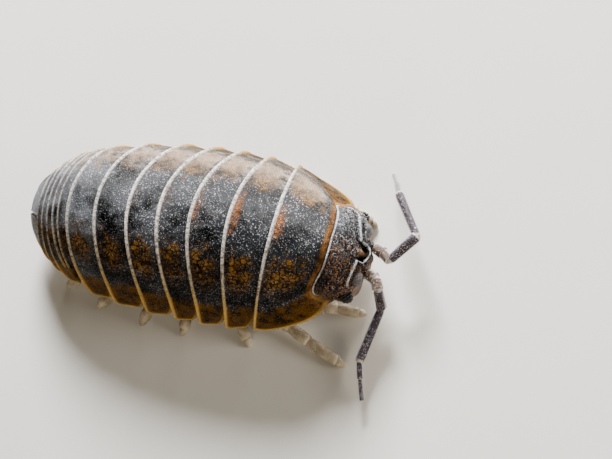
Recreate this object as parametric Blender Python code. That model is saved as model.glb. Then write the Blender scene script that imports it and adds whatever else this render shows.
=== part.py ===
"""A common pill woodlouse, life size, walking with its feelers spread.

The head points along +X, the animal's left is +Y, and the feet stand on z = 0. Lengths are in
millimetres and become metres as each mesh is made. The shell follows one dome: every plate edge is a
ring, an arch across the body whose sizes come from the side and plan outlines below.
"""
import math
from collections import namedtuple

import bmesh
import bpy
from mathutils import Matrix, Vector

MM = 0.001
CLEARANCE = 0.3

# Side outline of the back: two superellipse quarters that meet over the third plate.
BACK_PEAK_X = -0.4
BACK_PEAK_HEIGHT = 5.24
BACK_BASE_HEIGHT = 0.9
BACK_FRONT_LENGTH = 8.8
BACK_REAR_LENGTH = 9.9
BACK_ROUNDNESS = 2.4

# Plan outline of the plate rims, seen from above.
PLAN_MIDDLE_X = -0.6
PLAN_HALF_WIDTH = 4.02
PLAN_FRONT_LENGTH = 7.8
PLAN_REAR_LENGTH = 9.7
PLAN_ROUNDNESS = 2.25

# Height of the rims over the floor, and of the belly over the rims.
RIM_PEAK_HEIGHT = 1.28
RIM_DROP = 0.4
RIM_DROP_LENGTH = 5.4
RIM_FRONT_LIFT = 1.06
RIM_FRONT_START = 2.4
RIM_FRONT_LENGTH = 3.8
BELLY_HEIGHT = 1.95
BELLY_FLATNESS = 4
RIM_THICKNESS = 0.55

# The seven body plates, front to rear: lengths along the back and along the rim.
FIRST_EDGE_BACK_X = 6.0
FIRST_EDGE_RIM_X = 6.2
FIRST_EDGE_BOW = -0.85
FIRST_EDGE_BOW_POWER = 1.6
PLATE_BACK_LENGTHS = (2.5, 2.1, 1.85, 1.6, 1.6, 1.75, 1.6)
PLATE_RIM_LENGTHS = (3.85, 1.35, 1.3, 1.25, 1.5, 1.75, 1.4)
PLATE_STEP = 0.2
EDGE_BOW = 0.45
EDGE_BOW_MIDDLE_X = -2.0
EDGE_BOW_REACH = 6.0
SIDE_LOBE_FRONT_ANGLE = 76
SIDE_LOBE_REAR_ANGLE = 85
FIRST_LOBE_FRONT_ANGLE = 86
FRONT_ROUND_SHARE = 0.3
REAR_ROUND_SHARE = 0.2
ARCH_STEPS = 26
FIRST_PLATE_SHARES = (0, 0.08, 0.2, 0.35, 0.5, 0.7, 0.9, 1)
PLATE_SHARES = (0, 0.12, 0.3, 0.55, 0.8, 1)
PLATE_RISE_POWER = 1.5

# The tail: five short rings in one piece, then the end plate and the two tail flaps.
TAIL_RING_BACK_LENGTHS = (0.3, 0.35, 0.35, 0.35, 0.35)
TAIL_RING_RIM_LENGTHS = (0.06, 0.06, 0.9, 0.8, 0.75)
TAIL_RING_STEP = 0.14
TAIL_RING_SHARES = (0.02, 0.5, 1.0)
TAIL_LOBE_CUT = 2
TAIL_BARE_RINGS = 2
TAIL_BARE_ANGLE = 62
TAIL_END_BACK_X = -10.2
TAIL_END_RIM_X = -10.0
TAIL_PLATE_THICKNESS = 0.55
# Degrees off the middle of the back, at the front and at the rear of each.
TAIL_PLATE_ANGLES = ((-26, 26), (-20, 20))
TAIL_FLAP_ANGLES = ((34, 82), (33, 72))

# Head, turned a little to the left about the neck and set a little to the right.
HEAD_TURN = math.radians(4.5)
HEAD_SIDE_SHIFT = -0.1
NECK_X = 5.9
HEAD_HALF_WIDTH = 2.2
HEAD_SQUARENESS = 2.5
# For each section: distance from the rear, heights of the top and of the underside, share of the
# half width.
HEAD_SECTIONS = (
    (0.0, 4.16, 1.5, 0.99),
    (0.15, 4.14, 1.3, 1.0),
    (0.4, 3.98, 1.1, 0.95),
    (0.65, 3.7, 1.0, 0.87),
    (0.82, 3.42, 0.97, 0.79),
    (0.94, 3.12, 1.02, 0.7),
    (1.0, 2.9, 1.15, 0.6),
)
FACE_RECESS = 0.45
FACE_RECESS_TOP = 2.95
FACE_RECESS_HEIGHT = 0.9
EYE_PLACE = (6.6, 1.92, 2.28)
EYE_RADII = (0.3, 0.24, 0.26)
BROW_X = 7.25
SHIELD_TOP = 2.95
SHIELD_TIP = 2.0
SHIELD_HALF_WIDTH = 0.88
SHIELD_WIDTH_POWER = 0.6
SHIELD_SLOPE = 0.12
# For each section of the shield: how far it stands before the brow, and its share of the size.
SHIELD_SECTIONS = ((-0.3, 0.9), (0.0, 1.0), (0.18, 0.94))
SHIELD_CORNERS = 14
BROW_LOBE_PLACE = (7.08, 1.15, 2.68)
BROW_LOBE_RADII = (0.25, 0.34, 0.32)
BROW_LOBE_TILT = math.radians(28)
LIP_PLACE = (6.85, 0, 1.5)
LIP_RADII = (0.3, 0.62, 0.5)

# For each section of the mouthparts: place along the body, half width, top and underside.
MOUTH_SECTIONS = (
    (5.3, 0.7, 1.0, 0.75),
    (5.8, 0.95, 0.9, 0.55),
    (6.3, 0.9, 0.7, 0.42),
    (6.75, 0.6, 0.65, 0.42),
)
MOUTH_CORNERS = 14

# Gill leaves under the tail, in pairs on one keel.
GILL_PAIRS = 5
GILL_KEEL_PLACE = (-7.9, 0, 1.3)
GILL_KEEL_RADII = (1.25, 0.35, 0.3)
GILL_LEAF_X = -7.05
GILL_LEAF_STEP = -0.42
GILL_LEAF_Y = 0.95
GILL_LEAF_Z = 1.22
GILL_LEAF_RADII = (0.52, 0.85, 0.16)
GILL_LEAF_SHRINK = 0.07
GILL_LEAF_TILT = math.radians(-14)

# Feelers: joints from the socket outwards, and thickness of each article.
FEELER_RADII = (0.34, 0.32, 0.3, 0.27, 0.2, 0.15)
RIGHT_FEELER = ((7.4, -0.68, 2.15), (7.85, -0.84, 2.2), (8.06, -1.3, 2.1), (8.1, -1.84, 1.15),
                (7.74, -4.46, 1.05), (7.92, -5.18, 0.85), (8.22, -6.1, 0.62))
LEFT_FEELER = ((7.4, 0.6, 2.15), (7.85, 0.42, 2.14), (8.25, 0.14, 2.2), (9.24, 1.42, 2.35),
               (7.62, 3.47, 1.8), (7.28, 3.98, 1.4), (6.74, 4.66, 0.8))

# Legs: from the belly out to the claw.
LEG_RADII = (0.36, 0.34, 0.29, 0.27, 0.25, 0.12)
LEG_ROOT_Y = 1.65
LEG_ROOT_Z = BELLY_HEIGHT - CLEARANCE
ANKLE_LENGTH = 0.42
ANKLE_HEIGHT = 0.3
LEG_SIDES = 8
FEELER_SIDES = 10

# Shape of an article: shares of its length and of its radius.
JOINT_PINCH = 0.86
BEND_LENGTH_SHARE = 0.34
BEND_RADIUS_SHARE = 0.9
ARTICLE_SWELL = ((0.0, 0.94), (1.0, 1.06))
LAST_ARTICLE_SWELL = ((0.0, 0.92), (0.45, 0.8))
TIP_SHARE = 0.6
FLOOR_ROOM = 0.02

LEFT = 1
RIGHT = -1

Ring = namedtuple("Ring", "back_x rim_x half_width back_z rim_z bow bow_power")
Leg = namedtuple("Leg", "root_x knee shin foot")


def superellipse(offset, front_length, rear_length, roundness):
    """Height, from 0 to 1, of a rounded outline at an offset from its middle."""
    length = front_length if offset > 0 else rear_length
    share = min(1.0, abs(offset) / length)
    return (1 - share ** roundness) ** (1 / roundness)


def back_height(x):
    rise = BACK_PEAK_HEIGHT - BACK_BASE_HEIGHT
    return BACK_BASE_HEIGHT + rise * superellipse(
        x - BACK_PEAK_X, BACK_FRONT_LENGTH, BACK_REAR_LENGTH, BACK_ROUNDNESS)


def plan_half_width(x):
    return PLAN_HALF_WIDTH * superellipse(
        x - PLAN_MIDDLE_X, PLAN_FRONT_LENGTH, PLAN_REAR_LENGTH, PLAN_ROUNDNESS)


def rim_height(x):
    drop = RIM_DROP * min(1.0, abs(x - PLAN_MIDDLE_X) / RIM_DROP_LENGTH) ** 2
    lift = RIM_FRONT_LIFT * max(0.0, (x - RIM_FRONT_START) / RIM_FRONT_LENGTH) ** 2
    return RIM_PEAK_HEIGHT - drop + lift


def ring_at(back_x, rim_x):
    """The arch whose top lies at back_x and whose rims lie at rim_x."""
    reach = (back_x - EDGE_BOW_MIDDLE_X) / EDGE_BOW_REACH
    bow = EDGE_BOW * max(0.0, 1 - reach ** 2)
    return Ring(back_x, rim_x, plan_half_width(rim_x), back_height(back_x), rim_height(rim_x), bow, 1)


def between(ring_a, ring_b, share):
    back_x = ring_a.back_x + (ring_b.back_x - ring_a.back_x) * share
    rim_x = ring_a.rim_x + (ring_b.rim_x - ring_a.rim_x) * share
    bow = ring_a.bow + (ring_b.bow - ring_a.bow) * share
    bow_power = ring_a.bow_power + (ring_b.bow_power - ring_a.bow_power) * share
    return ring_at(back_x, rim_x)._replace(bow=bow, bow_power=bow_power)


def shifted(ring, distance):
    """The same arch moved along the body; its sizes are kept, so that the faces stay parallel."""
    return ring._replace(back_x=ring.back_x + distance, rim_x=ring.rim_x + distance)


def ring_x(ring, height):
    """How far along the body the ring lies at a height: it leans and bows with its plate."""
    down = 1 - (height - ring.rim_z) / (ring.back_z - ring.rim_z)
    down = min(1.0, max(0.0, down))
    bow_place = down ** ring.bow_power
    bow = ring.bow * 4 * bow_place * (1 - bow_place)
    return ring.back_x + (ring.rim_x - ring.back_x) * down + bow


def clear_x(ring, height, steps=12):
    """The nearest place in front of the ring, at a height, that keeps the clearance from it."""
    turns = [math.pi * (i / steps - 0.5) for i in range(steps + 1)]
    return max(ring_x(ring, height + CLEARANCE * math.sin(turn)) + CLEARANCE * math.cos(turn)
               for turn in turns)


def outer_point(ring, angle, lift=0.0):
    """A point on the shell; angle is 0 on the back and 90 degrees at the left rim."""
    y = ring.half_width * math.sin(angle)
    z = ring.rim_z + (ring.back_z - ring.rim_z) * math.cos(angle)
    return Vector((ring_x(ring, z), y + lift * math.sin(angle), z + lift * math.cos(angle)))


def inner_point(ring, angle, belly_height):
    """A point on the belly, which is flat in the middle and drops to the rims."""
    side = math.sin(angle)
    y = (ring.half_width - RIM_THICKNESS) * side
    flat = (1 - abs(side) ** BELLY_FLATNESS) ** (1 / BELLY_FLATNESS)
    z = ring.rim_z + (belly_height - ring.rim_z) * flat
    return Vector((ring_x(ring, z), y, z))


def arch_angles(limit_degrees, steps=ARCH_STEPS):
    limit = math.radians(limit_degrees)
    return [limit * (2 * i / steps - 1) for i in range(steps + 1)]


def body_loop(ring, limit_degrees, lift, belly_height=BELLY_HEIGHT):
    """One closed section of the body: over the shell from right to left, back along the belly."""
    angles = arch_angles(limit_degrees)
    over = [outer_point(ring, angle, lift) for angle in angles]
    under = [inner_point(ring, angle, belly_height) for angle in reversed(angles)]
    return over + under


def add_object(name, bm, material):
    bmesh.ops.recalc_face_normals(bm, faces=bm.faces)
    mesh = bpy.data.meshes.new(name)
    bm.to_mesh(mesh)
    bm.free()
    mesh.shade_smooth()
    mesh.set_sharp_from_angle(angle=math.radians(35))
    mesh.materials.append(material)
    node = bpy.data.objects.new(name, mesh)
    bpy.context.scene.collection.objects.link(node)
    return node


def add_loops(bm, loops):
    rows = [[bm.verts.new(point * MM) for point in loop] for loop in loops]
    for row_a, row_b in zip(rows, rows[1:]):
        for i in range(len(row_a)):
            j = (i + 1) % len(row_a)
            bm.faces.new((row_a[i], row_a[j], row_b[j], row_b[i]))
    return rows


def close_section(bm, row):
    """Close a body section by a strip between its outer and its inner half."""
    last = len(row) - 1
    for i in range(len(row) // 2 - 1):
        bm.faces.new((row[i], row[i + 1], row[last - i - 1], row[last - i]))


def body_piece(name, loops, material):
    bm = bmesh.new()
    rows = add_loops(bm, loops)
    close_section(bm, rows[0])
    close_section(bm, rows[-1])
    return add_object(name, bm, material)


def rounded_piece(name, loops, material):
    """A lofted piece whose two ends are flat caps."""
    bm = bmesh.new()
    rows = add_loops(bm, loops)
    bm.faces.new(rows[0])
    bm.faces.new(rows[-1])
    return add_object(name, bm, material)


def edge_rings():
    """The rear edge of every body plate, with the front edge of the first at the start."""
    back_x = FIRST_EDGE_BACK_X
    rim_x = FIRST_EDGE_RIM_X
    first = ring_at(back_x, rim_x)
    rings = [first._replace(bow=FIRST_EDGE_BOW, bow_power=FIRST_EDGE_BOW_POWER)]
    for back_length, rim_length in zip(PLATE_BACK_LENGTHS, PLATE_RIM_LENGTHS):
        back_x -= back_length
        rim_x -= rim_length
        rings.append(ring_at(back_x, rim_x))
    return rings


def side_lobe_angle(share, front_angle=SIDE_LOBE_FRONT_ANGLE):
    """How far down the shell reaches: the lower corners of each plate are rounded off."""
    front_round = max(0.0, 1 - share / FRONT_ROUND_SHARE) ** 2
    rear_round = max(0.0, 1 - (1 - share) / REAR_ROUND_SHARE) ** 2
    front_cut = (90 - front_angle) * front_round
    rear_cut = (90 - SIDE_LOBE_REAR_ANGLE) * rear_round
    return 90 - front_cut - rear_cut


def make_plate(number, front_edge, rear_edge, material):
    first = number == 1
    gap = 0.0 if first else CLEARANCE
    front = shifted(front_edge, -gap)
    front_angle = FIRST_LOBE_FRONT_ANGLE if first else SIDE_LOBE_FRONT_ANGLE
    loops = []
    for share in FIRST_PLATE_SHARES if first else PLATE_SHARES:
        ring = between(front, rear_edge, share)
        if share == 0:
            ring = front
        limit = side_lobe_angle(share, front_angle)
        loops.append(body_loop(ring, limit, PLATE_STEP * share ** PLATE_RISE_POWER))
    return body_piece("plate_%d" % number, loops, material)


def tail_edges(last_plate_edge):
    ring = shifted(last_plate_edge, -CLEARANCE)
    edges = [ring_at(ring.back_x, ring.rim_x)]
    for back_length, rim_length in zip(TAIL_RING_BACK_LENGTHS, TAIL_RING_RIM_LENGTHS):
        ring = ring_at(ring.back_x - back_length, ring.rim_x - rim_length)
        edges.append(ring)
    return edges


def make_tail_rings(edges, material):
    loops = []
    for number, (front, rear) in enumerate(zip(edges, edges[1:])):
        bare = number < TAIL_BARE_RINGS
        for share in TAIL_RING_SHARES:
            limit = TAIL_BARE_ANGLE if bare else side_lobe_angle(share) - TAIL_LOBE_CUT
            lift = TAIL_RING_STEP * (share - 1)
            loops.append(body_loop(between(front, rear, share), limit, lift))
    return body_piece("tail_rings", loops, material)


def shell_patch(name, front, rear, front_angles, rear_angles, material, rows=5, steps=8):
    """A curved plate on the dome between two edges, as thick all over."""
    loops = []
    for row in range(rows + 1):
        share = row / rows
        ring = between(front, rear, share)
        low = math.radians(front_angles[0] + (rear_angles[0] - front_angles[0]) * share)
        high = math.radians(front_angles[1] + (rear_angles[1] - front_angles[1]) * share)
        angles = [low + (high - low) * i / steps for i in range(steps + 1)]
        over = [outer_point(ring, angle) for angle in angles]
        under = [outer_point(ring, angle, -TAIL_PLATE_THICKNESS) for angle in reversed(angles)]
        loops.append(over + under)
    return body_piece(name, loops, material)


def make_tail_end(last_edge, shell_material, flap_material):
    front = shifted(last_edge, -CLEARANCE)
    rear = ring_at(TAIL_END_BACK_X, TAIL_END_RIM_X)
    shell_patch("tail_plate", front, rear, *TAIL_PLATE_ANGLES, shell_material)
    for side, name in ((LEFT, "tail_flap_left"), (RIGHT, "tail_flap_right")):
        front_angles, rear_angles = [(low * side, high * side) for low, high in TAIL_FLAP_ANGLES]
        shell_patch(name, front, rear, front_angles, rear_angles, flap_material)


def frame_along(tangent, previous_side):
    side = previous_side - tangent * previous_side.dot(tangent)
    side.normalize()
    return side, tangent.cross(side)


def circle(centre, side, other, radius, count):
    turns = [2 * math.pi * (i + 0.5) / count for i in range(count)]
    return [centre + (side * math.cos(turn) + other * math.sin(turn)) * radius for turn in turns]


def limb(name, joints, radii, sides, material, flat_foot=False):
    """A jointed limb: each article is narrow where it starts and swells towards its far joint."""
    joints = [Vector(joint) for joint in joints]
    directions = [(b - a).normalized() for a, b in zip(joints, joints[1:])]
    side = directions[0].orthogonal()
    loops = []
    for i, (start, end) in enumerate(zip(joints, joints[1:])):
        direction = directions[i]
        radius = radii[i]
        length = (end - start).length
        bend_room = min(BEND_LENGTH_SHARE * length, BEND_RADIUS_SHARE * radius)
        tangent = direction if i == 0 else (directions[i - 1] + direction).normalized()
        side, other = frame_along(tangent, side)
        joint_radius = radius if i == 0 else JOINT_PINCH * min(radius, radii[i - 1])
        loops.append(circle(start, side, other, joint_radius, sides))
        side, other = frame_along(direction, side)
        last = i == len(directions) - 1
        for share, swell in LAST_ARTICLE_SWELL if last else ARTICLE_SWELL:
            distance = bend_room + share * (length - 2 * bend_room)
            loops.append(circle(start + direction * distance, side, other, radius * swell, sides))
    end_radius = radii[-1] * TIP_SHARE
    end_direction = directions[-1]
    if flat_foot:
        end_direction = Vector((0, 0, -1))
        end_radius = radii[-1]
    side, other = frame_along(end_direction, side)
    loops.append(circle(joints[-1], side, other, end_radius, sides))
    for loop in loops[:-1]:
        for point in loop:
            point.z = max(point.z, FLOOR_ROOM)
    return rounded_piece(name, loops, material)


def make_leg(side_name, side, number, leg, material):
    root = Vector((leg.root_x, side * LEG_ROOT_Y, LEG_ROOT_Z))
    knee = Vector((leg.knee[0], side * leg.knee[1], leg.knee[2]))
    shin = Vector((leg.shin[0], side * leg.shin[1], leg.shin[2]))
    foot = Vector((leg.foot[0], side * leg.foot[1], 0))
    upper = knee.lerp(shin, 0.5)
    ankle = foot + (shin - foot).normalized() * ANKLE_LENGTH
    ankle.z = max(ankle.z, ANKLE_HEIGHT)
    joints = (root, knee, upper, shin, ankle, foot)
    limb("leg_%s_%d" % (side_name, number), joints, LEG_RADII, LEG_SIDES, material, flat_foot=True)


# Root, knee, shin joint and foot of each leg; y counts outwards from the middle on both sides.
RIGHT_LEGS = (
    Leg(4.35, (4.7, 2.35, 1.15), (5.9, 2.1, 0.75), (7.1, 1.95)),
    Leg(2.1, (2.95, 2.95, 0.85), (4.9, 3.85, 0.55), (6.8, 4.55)),
    Leg(0.45, (1.0, 2.95, 1.0), (1.5, 3.75, 0.6), (2.0, 4.5)),
    Leg(-1.0, (-1.1, 3.0, 1.0), (-1.3, 3.85, 0.6), (-1.5, 4.6)),
    Leg(-2.5, (-2.9, 2.95, 1.0), (-3.3, 3.8, 0.6), (-3.7, 4.5)),
    Leg(-4.2, (-4.8, 2.85, 0.95), (-5.5, 3.5, 0.5), (-6.2, 4.1)),
    Leg(-5.8, (-6.5, 2.5, 0.9), (-7.3, 2.9, 0.5), (-8.1, 3.3)),
)
LEFT_LEGS = (
    Leg(4.35, (4.6, 2.4, 1.15), (5.5, 2.6, 0.75), (6.4, 2.2)),
    Leg(2.1, (2.3, 2.85, 0.95), (2.8, 3.5, 0.6), (3.4, 3.85)),
    Leg(0.45, (0.8, 2.95, 1.0), (1.1, 3.8, 0.6), (1.3, 4.55)),
    Leg(-1.0, (-0.9, 3.0, 1.0), (-0.9, 3.85, 0.6), (-0.9, 4.6)),
    Leg(-2.5, (-2.8, 2.95, 1.0), (-3.1, 3.8, 0.6), (-3.4, 4.55)),
    Leg(-4.2, (-4.9, 2.85, 0.95), (-5.7, 3.45, 0.5), (-6.5, 3.95)),
    Leg(-5.8, (-6.4, 2.55, 0.9), (-7.0, 3.05, 0.5), (-7.6, 3.6)),
)


def make_ellipsoid(name, centre, radii, material, turn=None, segments=16, rings=10):
    bm = bmesh.new()
    bmesh.ops.create_uvsphere(bm, u_segments=segments, v_segments=rings, radius=1)
    size = Matrix.Diagonal(Vector(radii) * MM).to_4x4()
    spin = turn.to_4x4() if turn else Matrix.Identity(4)
    place = Matrix.Translation(Vector(centre) * MM)
    bmesh.ops.transform(bm, matrix=place @ spin @ size, verts=bm.verts)
    return add_object(name, bm, material)


def combine(node, pieces, operation):
    """Join the pieces to the node, or cut them from it, and remove them."""
    group = bpy.data.collections.new("pieces")
    bpy.context.scene.collection.children.link(group)
    for piece in pieces:
        bpy.context.scene.collection.objects.unlink(piece)
        group.objects.link(piece)
    change = node.modifiers.new("change", "BOOLEAN")
    change.operation = operation
    change.solver = "EXACT"
    change.operand_type = "COLLECTION"
    change.collection = group
    graph = bpy.context.evaluated_depsgraph_get()
    mesh = bpy.data.meshes.new_from_object(node.evaluated_get(graph))
    node.modifiers.remove(change)
    old_mesh = node.data
    node.data = mesh
    bpy.data.meshes.remove(old_mesh)
    for piece in pieces:
        bpy.data.objects.remove(piece)
    bpy.data.collections.remove(group)
    keep_largest_surface(node)


def keep_largest_surface(node):
    bm = bmesh.new()
    bm.from_mesh(node.data)
    left = set(bm.faces)
    surfaces = []
    while left:
        surface = set()
        front = [left.pop()]
        while front:
            face = front.pop()
            surface.add(face)
            for edge in face.edges:
                for other in edge.link_faces:
                    if other in left:
                        left.remove(other)
                        front.append(other)
        surfaces.append(surface)
    largest = max(surfaces, key=lambda faces: sum(face.calc_area() for face in faces))
    spare = [face for face in bm.faces if face not in largest]
    bmesh.ops.delete(bm, geom=spare, context="FACES")
    bm.to_mesh(node.data)
    bm.free()


def head_loop(x, top, bottom, half_width, bend=None, steps=28, squareness=HEAD_SQUARENESS):
    """A rounded section across the head; bend gives the shift in x at y and z, if any."""
    middle = (top + bottom) / 2
    half_height = (top - bottom) / 2
    points = []
    for i in range(steps):
        turn = 2 * math.pi * i / steps
        y = half_width * math.copysign(abs(math.sin(turn)) ** (2 / squareness), math.sin(turn))
        z = half_height * math.copysign(abs(math.cos(turn)) ** (2 / squareness), math.cos(turn))
        shift = bend(y, middle + z) if bend else 0.0
        points.append(Vector((x + shift, y, middle + z)))
    return points


def turned(x, y, z):
    """A place on the head once it is turned about the neck."""
    spin = Matrix.Rotation(HEAD_TURN, 3, "Z")
    return spin @ Vector((x - NECK_X, y, z)) + Vector((NECK_X, HEAD_SIDE_SHIFT, 0))


def make_shield(material):
    """The three-cornered plate on the brow: wide on top, pointed below, its rim standing forward."""
    middle = (SHIELD_TOP + SHIELD_TIP) / 2
    half_height = (SHIELD_TOP - SHIELD_TIP) / 2
    loops = []
    for depth, share in SHIELD_SECTIONS:
        loop = []
        for i in range(SHIELD_CORNERS):
            turn = 2 * math.pi * i / SHIELD_CORNERS
            up = math.cos(turn)
            width = SHIELD_HALF_WIDTH * ((1 + up) / 2) ** SHIELD_WIDTH_POWER
            z = middle + share * half_height * up
            x = BROW_X + depth + SHIELD_SLOPE * (z - SHIELD_TIP)
            loop.append(turned(x, share * width * math.sin(turn), z))
        loops.append(loop)
    return rounded_piece("shield", loops, material)


def head_piece(loops, material):
    """The skull: its rear face is ruled from top to bottom, so that it keeps clear of the shell."""
    bm = bmesh.new()
    rows = add_loops(bm, loops)
    bm.faces.new(rows[-1])
    rear = rows[0]
    count = len(rear)
    for i in range(-count // 4, count // 4):
        j = count // 2 - i
        corners = (rear[i], rear[i + 1], rear[(j - 1) % count], rear[j % count])
        distinct = list(dict.fromkeys(corners))
        bm.faces.new(distinct)
    return add_object("head", bm, material)


def make_head(first_edge, head_material, eye_material):
    start = first_edge.back_x + CLEARANCE
    head_length = HEAD_SECTIONS[-1][0]
    loops = []
    for x, top, bottom, share in HEAD_SECTIONS:
        follow = 1 - x / head_length

        def bend(y, z, follow=follow):
            rear = clear_x(first_edge, z) - start
            sunk = min(1.0, max(0.0, (FACE_RECESS_TOP - z) / FACE_RECESS_HEIGHT))
            front = -FACE_RECESS * sunk - math.tan(HEAD_TURN) * y
            return follow * rear + (1 - follow) * front

        loops.append(head_loop(start + x, top, bottom, HEAD_HALF_WIDTH * share, bend))
    head = head_piece(loops, head_material)
    pieces = [make_shield(head_material),
              make_ellipsoid("lip", turned(*LIP_PLACE), LIP_RADII, head_material)]
    for side in (LEFT, RIGHT):
        place = turned(BROW_LOBE_PLACE[0], BROW_LOBE_PLACE[1] * side, BROW_LOBE_PLACE[2])
        tilt = Matrix.Rotation(-BROW_LOBE_TILT * side, 3, "X")
        pieces.append(make_ellipsoid("brow_lobe", place, BROW_LOBE_RADII, head_material, tilt))
    combine(head, pieces, "UNION")
    sockets = []
    for side, name in ((LEFT, "eye_left"), (RIGHT, "eye_right")):
        place = turned(EYE_PLACE[0], EYE_PLACE[1] * side, EYE_PLACE[2])
        make_ellipsoid(name, place, EYE_RADII, eye_material)
        room = [radius + CLEARANCE for radius in EYE_RADII]
        sockets.append(make_ellipsoid("socket", place, room, head_material))
    combine(head, sockets, "DIFFERENCE")


def make_mouthparts(material):
    loops = [head_loop(x, top, bottom, half_width, steps=MOUTH_CORNERS)
             for x, half_width, top, bottom in MOUTH_SECTIONS]
    rounded_piece("mouthparts", loops, material)


def make_gill_plates(material):
    """Pairs of flat gill leaves under the tail, each lapping the next, on one keel."""
    keel = make_ellipsoid("gill_plates", GILL_KEEL_PLACE, GILL_KEEL_RADII, material)
    tilt = Matrix.Rotation(GILL_LEAF_TILT, 3, "Y")
    length, width, thickness = GILL_LEAF_RADII
    leaves = []
    for row in range(GILL_PAIRS):
        shrink = GILL_LEAF_SHRINK * row
        for side in (LEFT, RIGHT):
            x = GILL_LEAF_X + GILL_LEAF_STEP * row
            place = (x, side * (GILL_LEAF_Y - shrink), GILL_LEAF_Z)
            radii = (length, width - shrink, thickness)
            leaves.append(make_ellipsoid("leaf", place, radii, material, tilt, segments=12, rings=8))
    combine(keel, leaves, "UNION")


def make_material(name, colour, roughness):
    material = bpy.data.materials.new(name)
    material.use_nodes = True
    shader = material.node_tree.nodes["Principled BSDF"]
    shader.inputs["Base Color"].default_value = (*colour, 1)
    shader.inputs["Roughness"].default_value = roughness
    shader.inputs["Metallic"].default_value = 0
    return material


def centre_on_floor():
    """Put the origin on the floor below the middle of the whole animal, feelers and legs included."""
    corners = [node.matrix_world @ Vector(corner)
               for node in bpy.data.objects for corner in node.bound_box]
    middle_x = (min(c.x for c in corners) + max(c.x for c in corners)) / 2
    middle_y = (min(c.y for c in corners) + max(c.y for c in corners)) / 2
    shift = Matrix.Translation((-middle_x, -middle_y, 0))
    for node in bpy.data.objects:
        node.data.transform(shift)


def clear_scene():
    for old_object in list(bpy.data.objects):
        bpy.data.objects.remove(old_object)


def main():
    clear_scene()
    shell = make_material("shell", (0.05, 0.055, 0.07), 0.45)
    tail_shell = make_material("tail_shell", (0.1, 0.1, 0.12), 0.5)
    head_shell = make_material("head_shell", (0.06, 0.055, 0.05), 0.5)
    eye = make_material("eye", (0.005, 0.005, 0.005), 0.1)
    feeler = make_material("feeler", (0.25, 0.22, 0.25), 0.5)
    leg_shell = make_material("leg_shell", (0.6, 0.54, 0.42), 0.5)
    gill = make_material("gill", (0.7, 0.68, 0.6), 0.6)

    edges = edge_rings()
    for number, (front, rear) in enumerate(zip(edges, edges[1:]), start=1):
        make_plate(number, front, rear, shell)
    tail = tail_edges(edges[-1])
    make_tail_rings(tail, tail_shell)
    make_tail_end(tail[-1], tail_shell, tail_shell)
    make_head(edges[0], head_shell, eye)
    make_mouthparts(leg_shell)
    make_gill_plates(gill)
    limb("feeler_right", RIGHT_FEELER, FEELER_RADII, FEELER_SIDES, feeler)
    limb("feeler_left", LEFT_FEELER, FEELER_RADII, FEELER_SIDES, feeler)
    for side_name, side, legs in (("left", LEFT, LEFT_LEGS), ("right", RIGHT, RIGHT_LEGS)):
        for number, leg in enumerate(legs, start=1):
            make_leg(side_name, side, number, leg, leg_shell)
    centre_on_floor()


main()
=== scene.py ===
"""Looks of the pill woodlouse: fine shell, head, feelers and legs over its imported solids.

Lengths are in millimetres in the solids' own numbers: the head points along +X, the animal's left is
+Y and the feet stand on z = 0. make_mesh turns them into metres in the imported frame.
"""
import math
from collections import namedtuple
from functools import partial

import bmesh
import bpy
import numpy as np
from mathutils import Matrix, Vector
from mathutils.kdtree import KDTree


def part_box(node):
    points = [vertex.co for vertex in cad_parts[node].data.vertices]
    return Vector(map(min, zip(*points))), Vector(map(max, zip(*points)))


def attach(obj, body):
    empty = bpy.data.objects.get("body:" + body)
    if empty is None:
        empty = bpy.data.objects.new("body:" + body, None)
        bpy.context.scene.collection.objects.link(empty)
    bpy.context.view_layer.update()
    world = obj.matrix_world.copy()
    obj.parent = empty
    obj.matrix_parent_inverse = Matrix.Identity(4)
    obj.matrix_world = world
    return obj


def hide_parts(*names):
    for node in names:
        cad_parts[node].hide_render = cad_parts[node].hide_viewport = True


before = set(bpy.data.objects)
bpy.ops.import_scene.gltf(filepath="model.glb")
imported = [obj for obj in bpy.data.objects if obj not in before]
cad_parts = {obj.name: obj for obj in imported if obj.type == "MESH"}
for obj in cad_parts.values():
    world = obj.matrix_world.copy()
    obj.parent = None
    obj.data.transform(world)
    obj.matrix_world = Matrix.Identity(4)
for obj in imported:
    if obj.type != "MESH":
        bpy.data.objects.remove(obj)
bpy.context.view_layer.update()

MM = 0.001
LEFT = 1
RIGHT = -1

# Camera of the photograph, in the solids' own numbers.
CAMERA_PLACE = (45.585, -29.151, 98.735)
CAMERA_RIGHT = (0.91086419, 0.27498118, -0.30775279)
CAMERA_UP = (-0.15823246, 0.92139564, 0.35495431)
CAMERA_BACK = (0.38116783, -0.27461869, 0.88277724)
CAMERA_LENS = 141.19
CAMERA_SENSOR = 36

# Softboxes round the animal: name, place, target, size, power in watts, tint.
LIGHTS = (
    ("far_softbox", (-40, 150, 95), (0, 0, 2), 65, 1.5, (0.98, 0.99, 1.0)),
    ("low_softbox", (10, 170, 22), (0, 0, 2), 80, 0.75, (1.0, 0.93, 0.85)),
    ("front_softbox", (140, 20, 70), (2, 0, 2), 70, 0.16, (1.0, 0.93, 0.82)),
    ("near_softbox", (30, -150, 60), (0, 0, 2), 60, 0.09, (1.0, 0.82, 0.55)),
)

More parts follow.
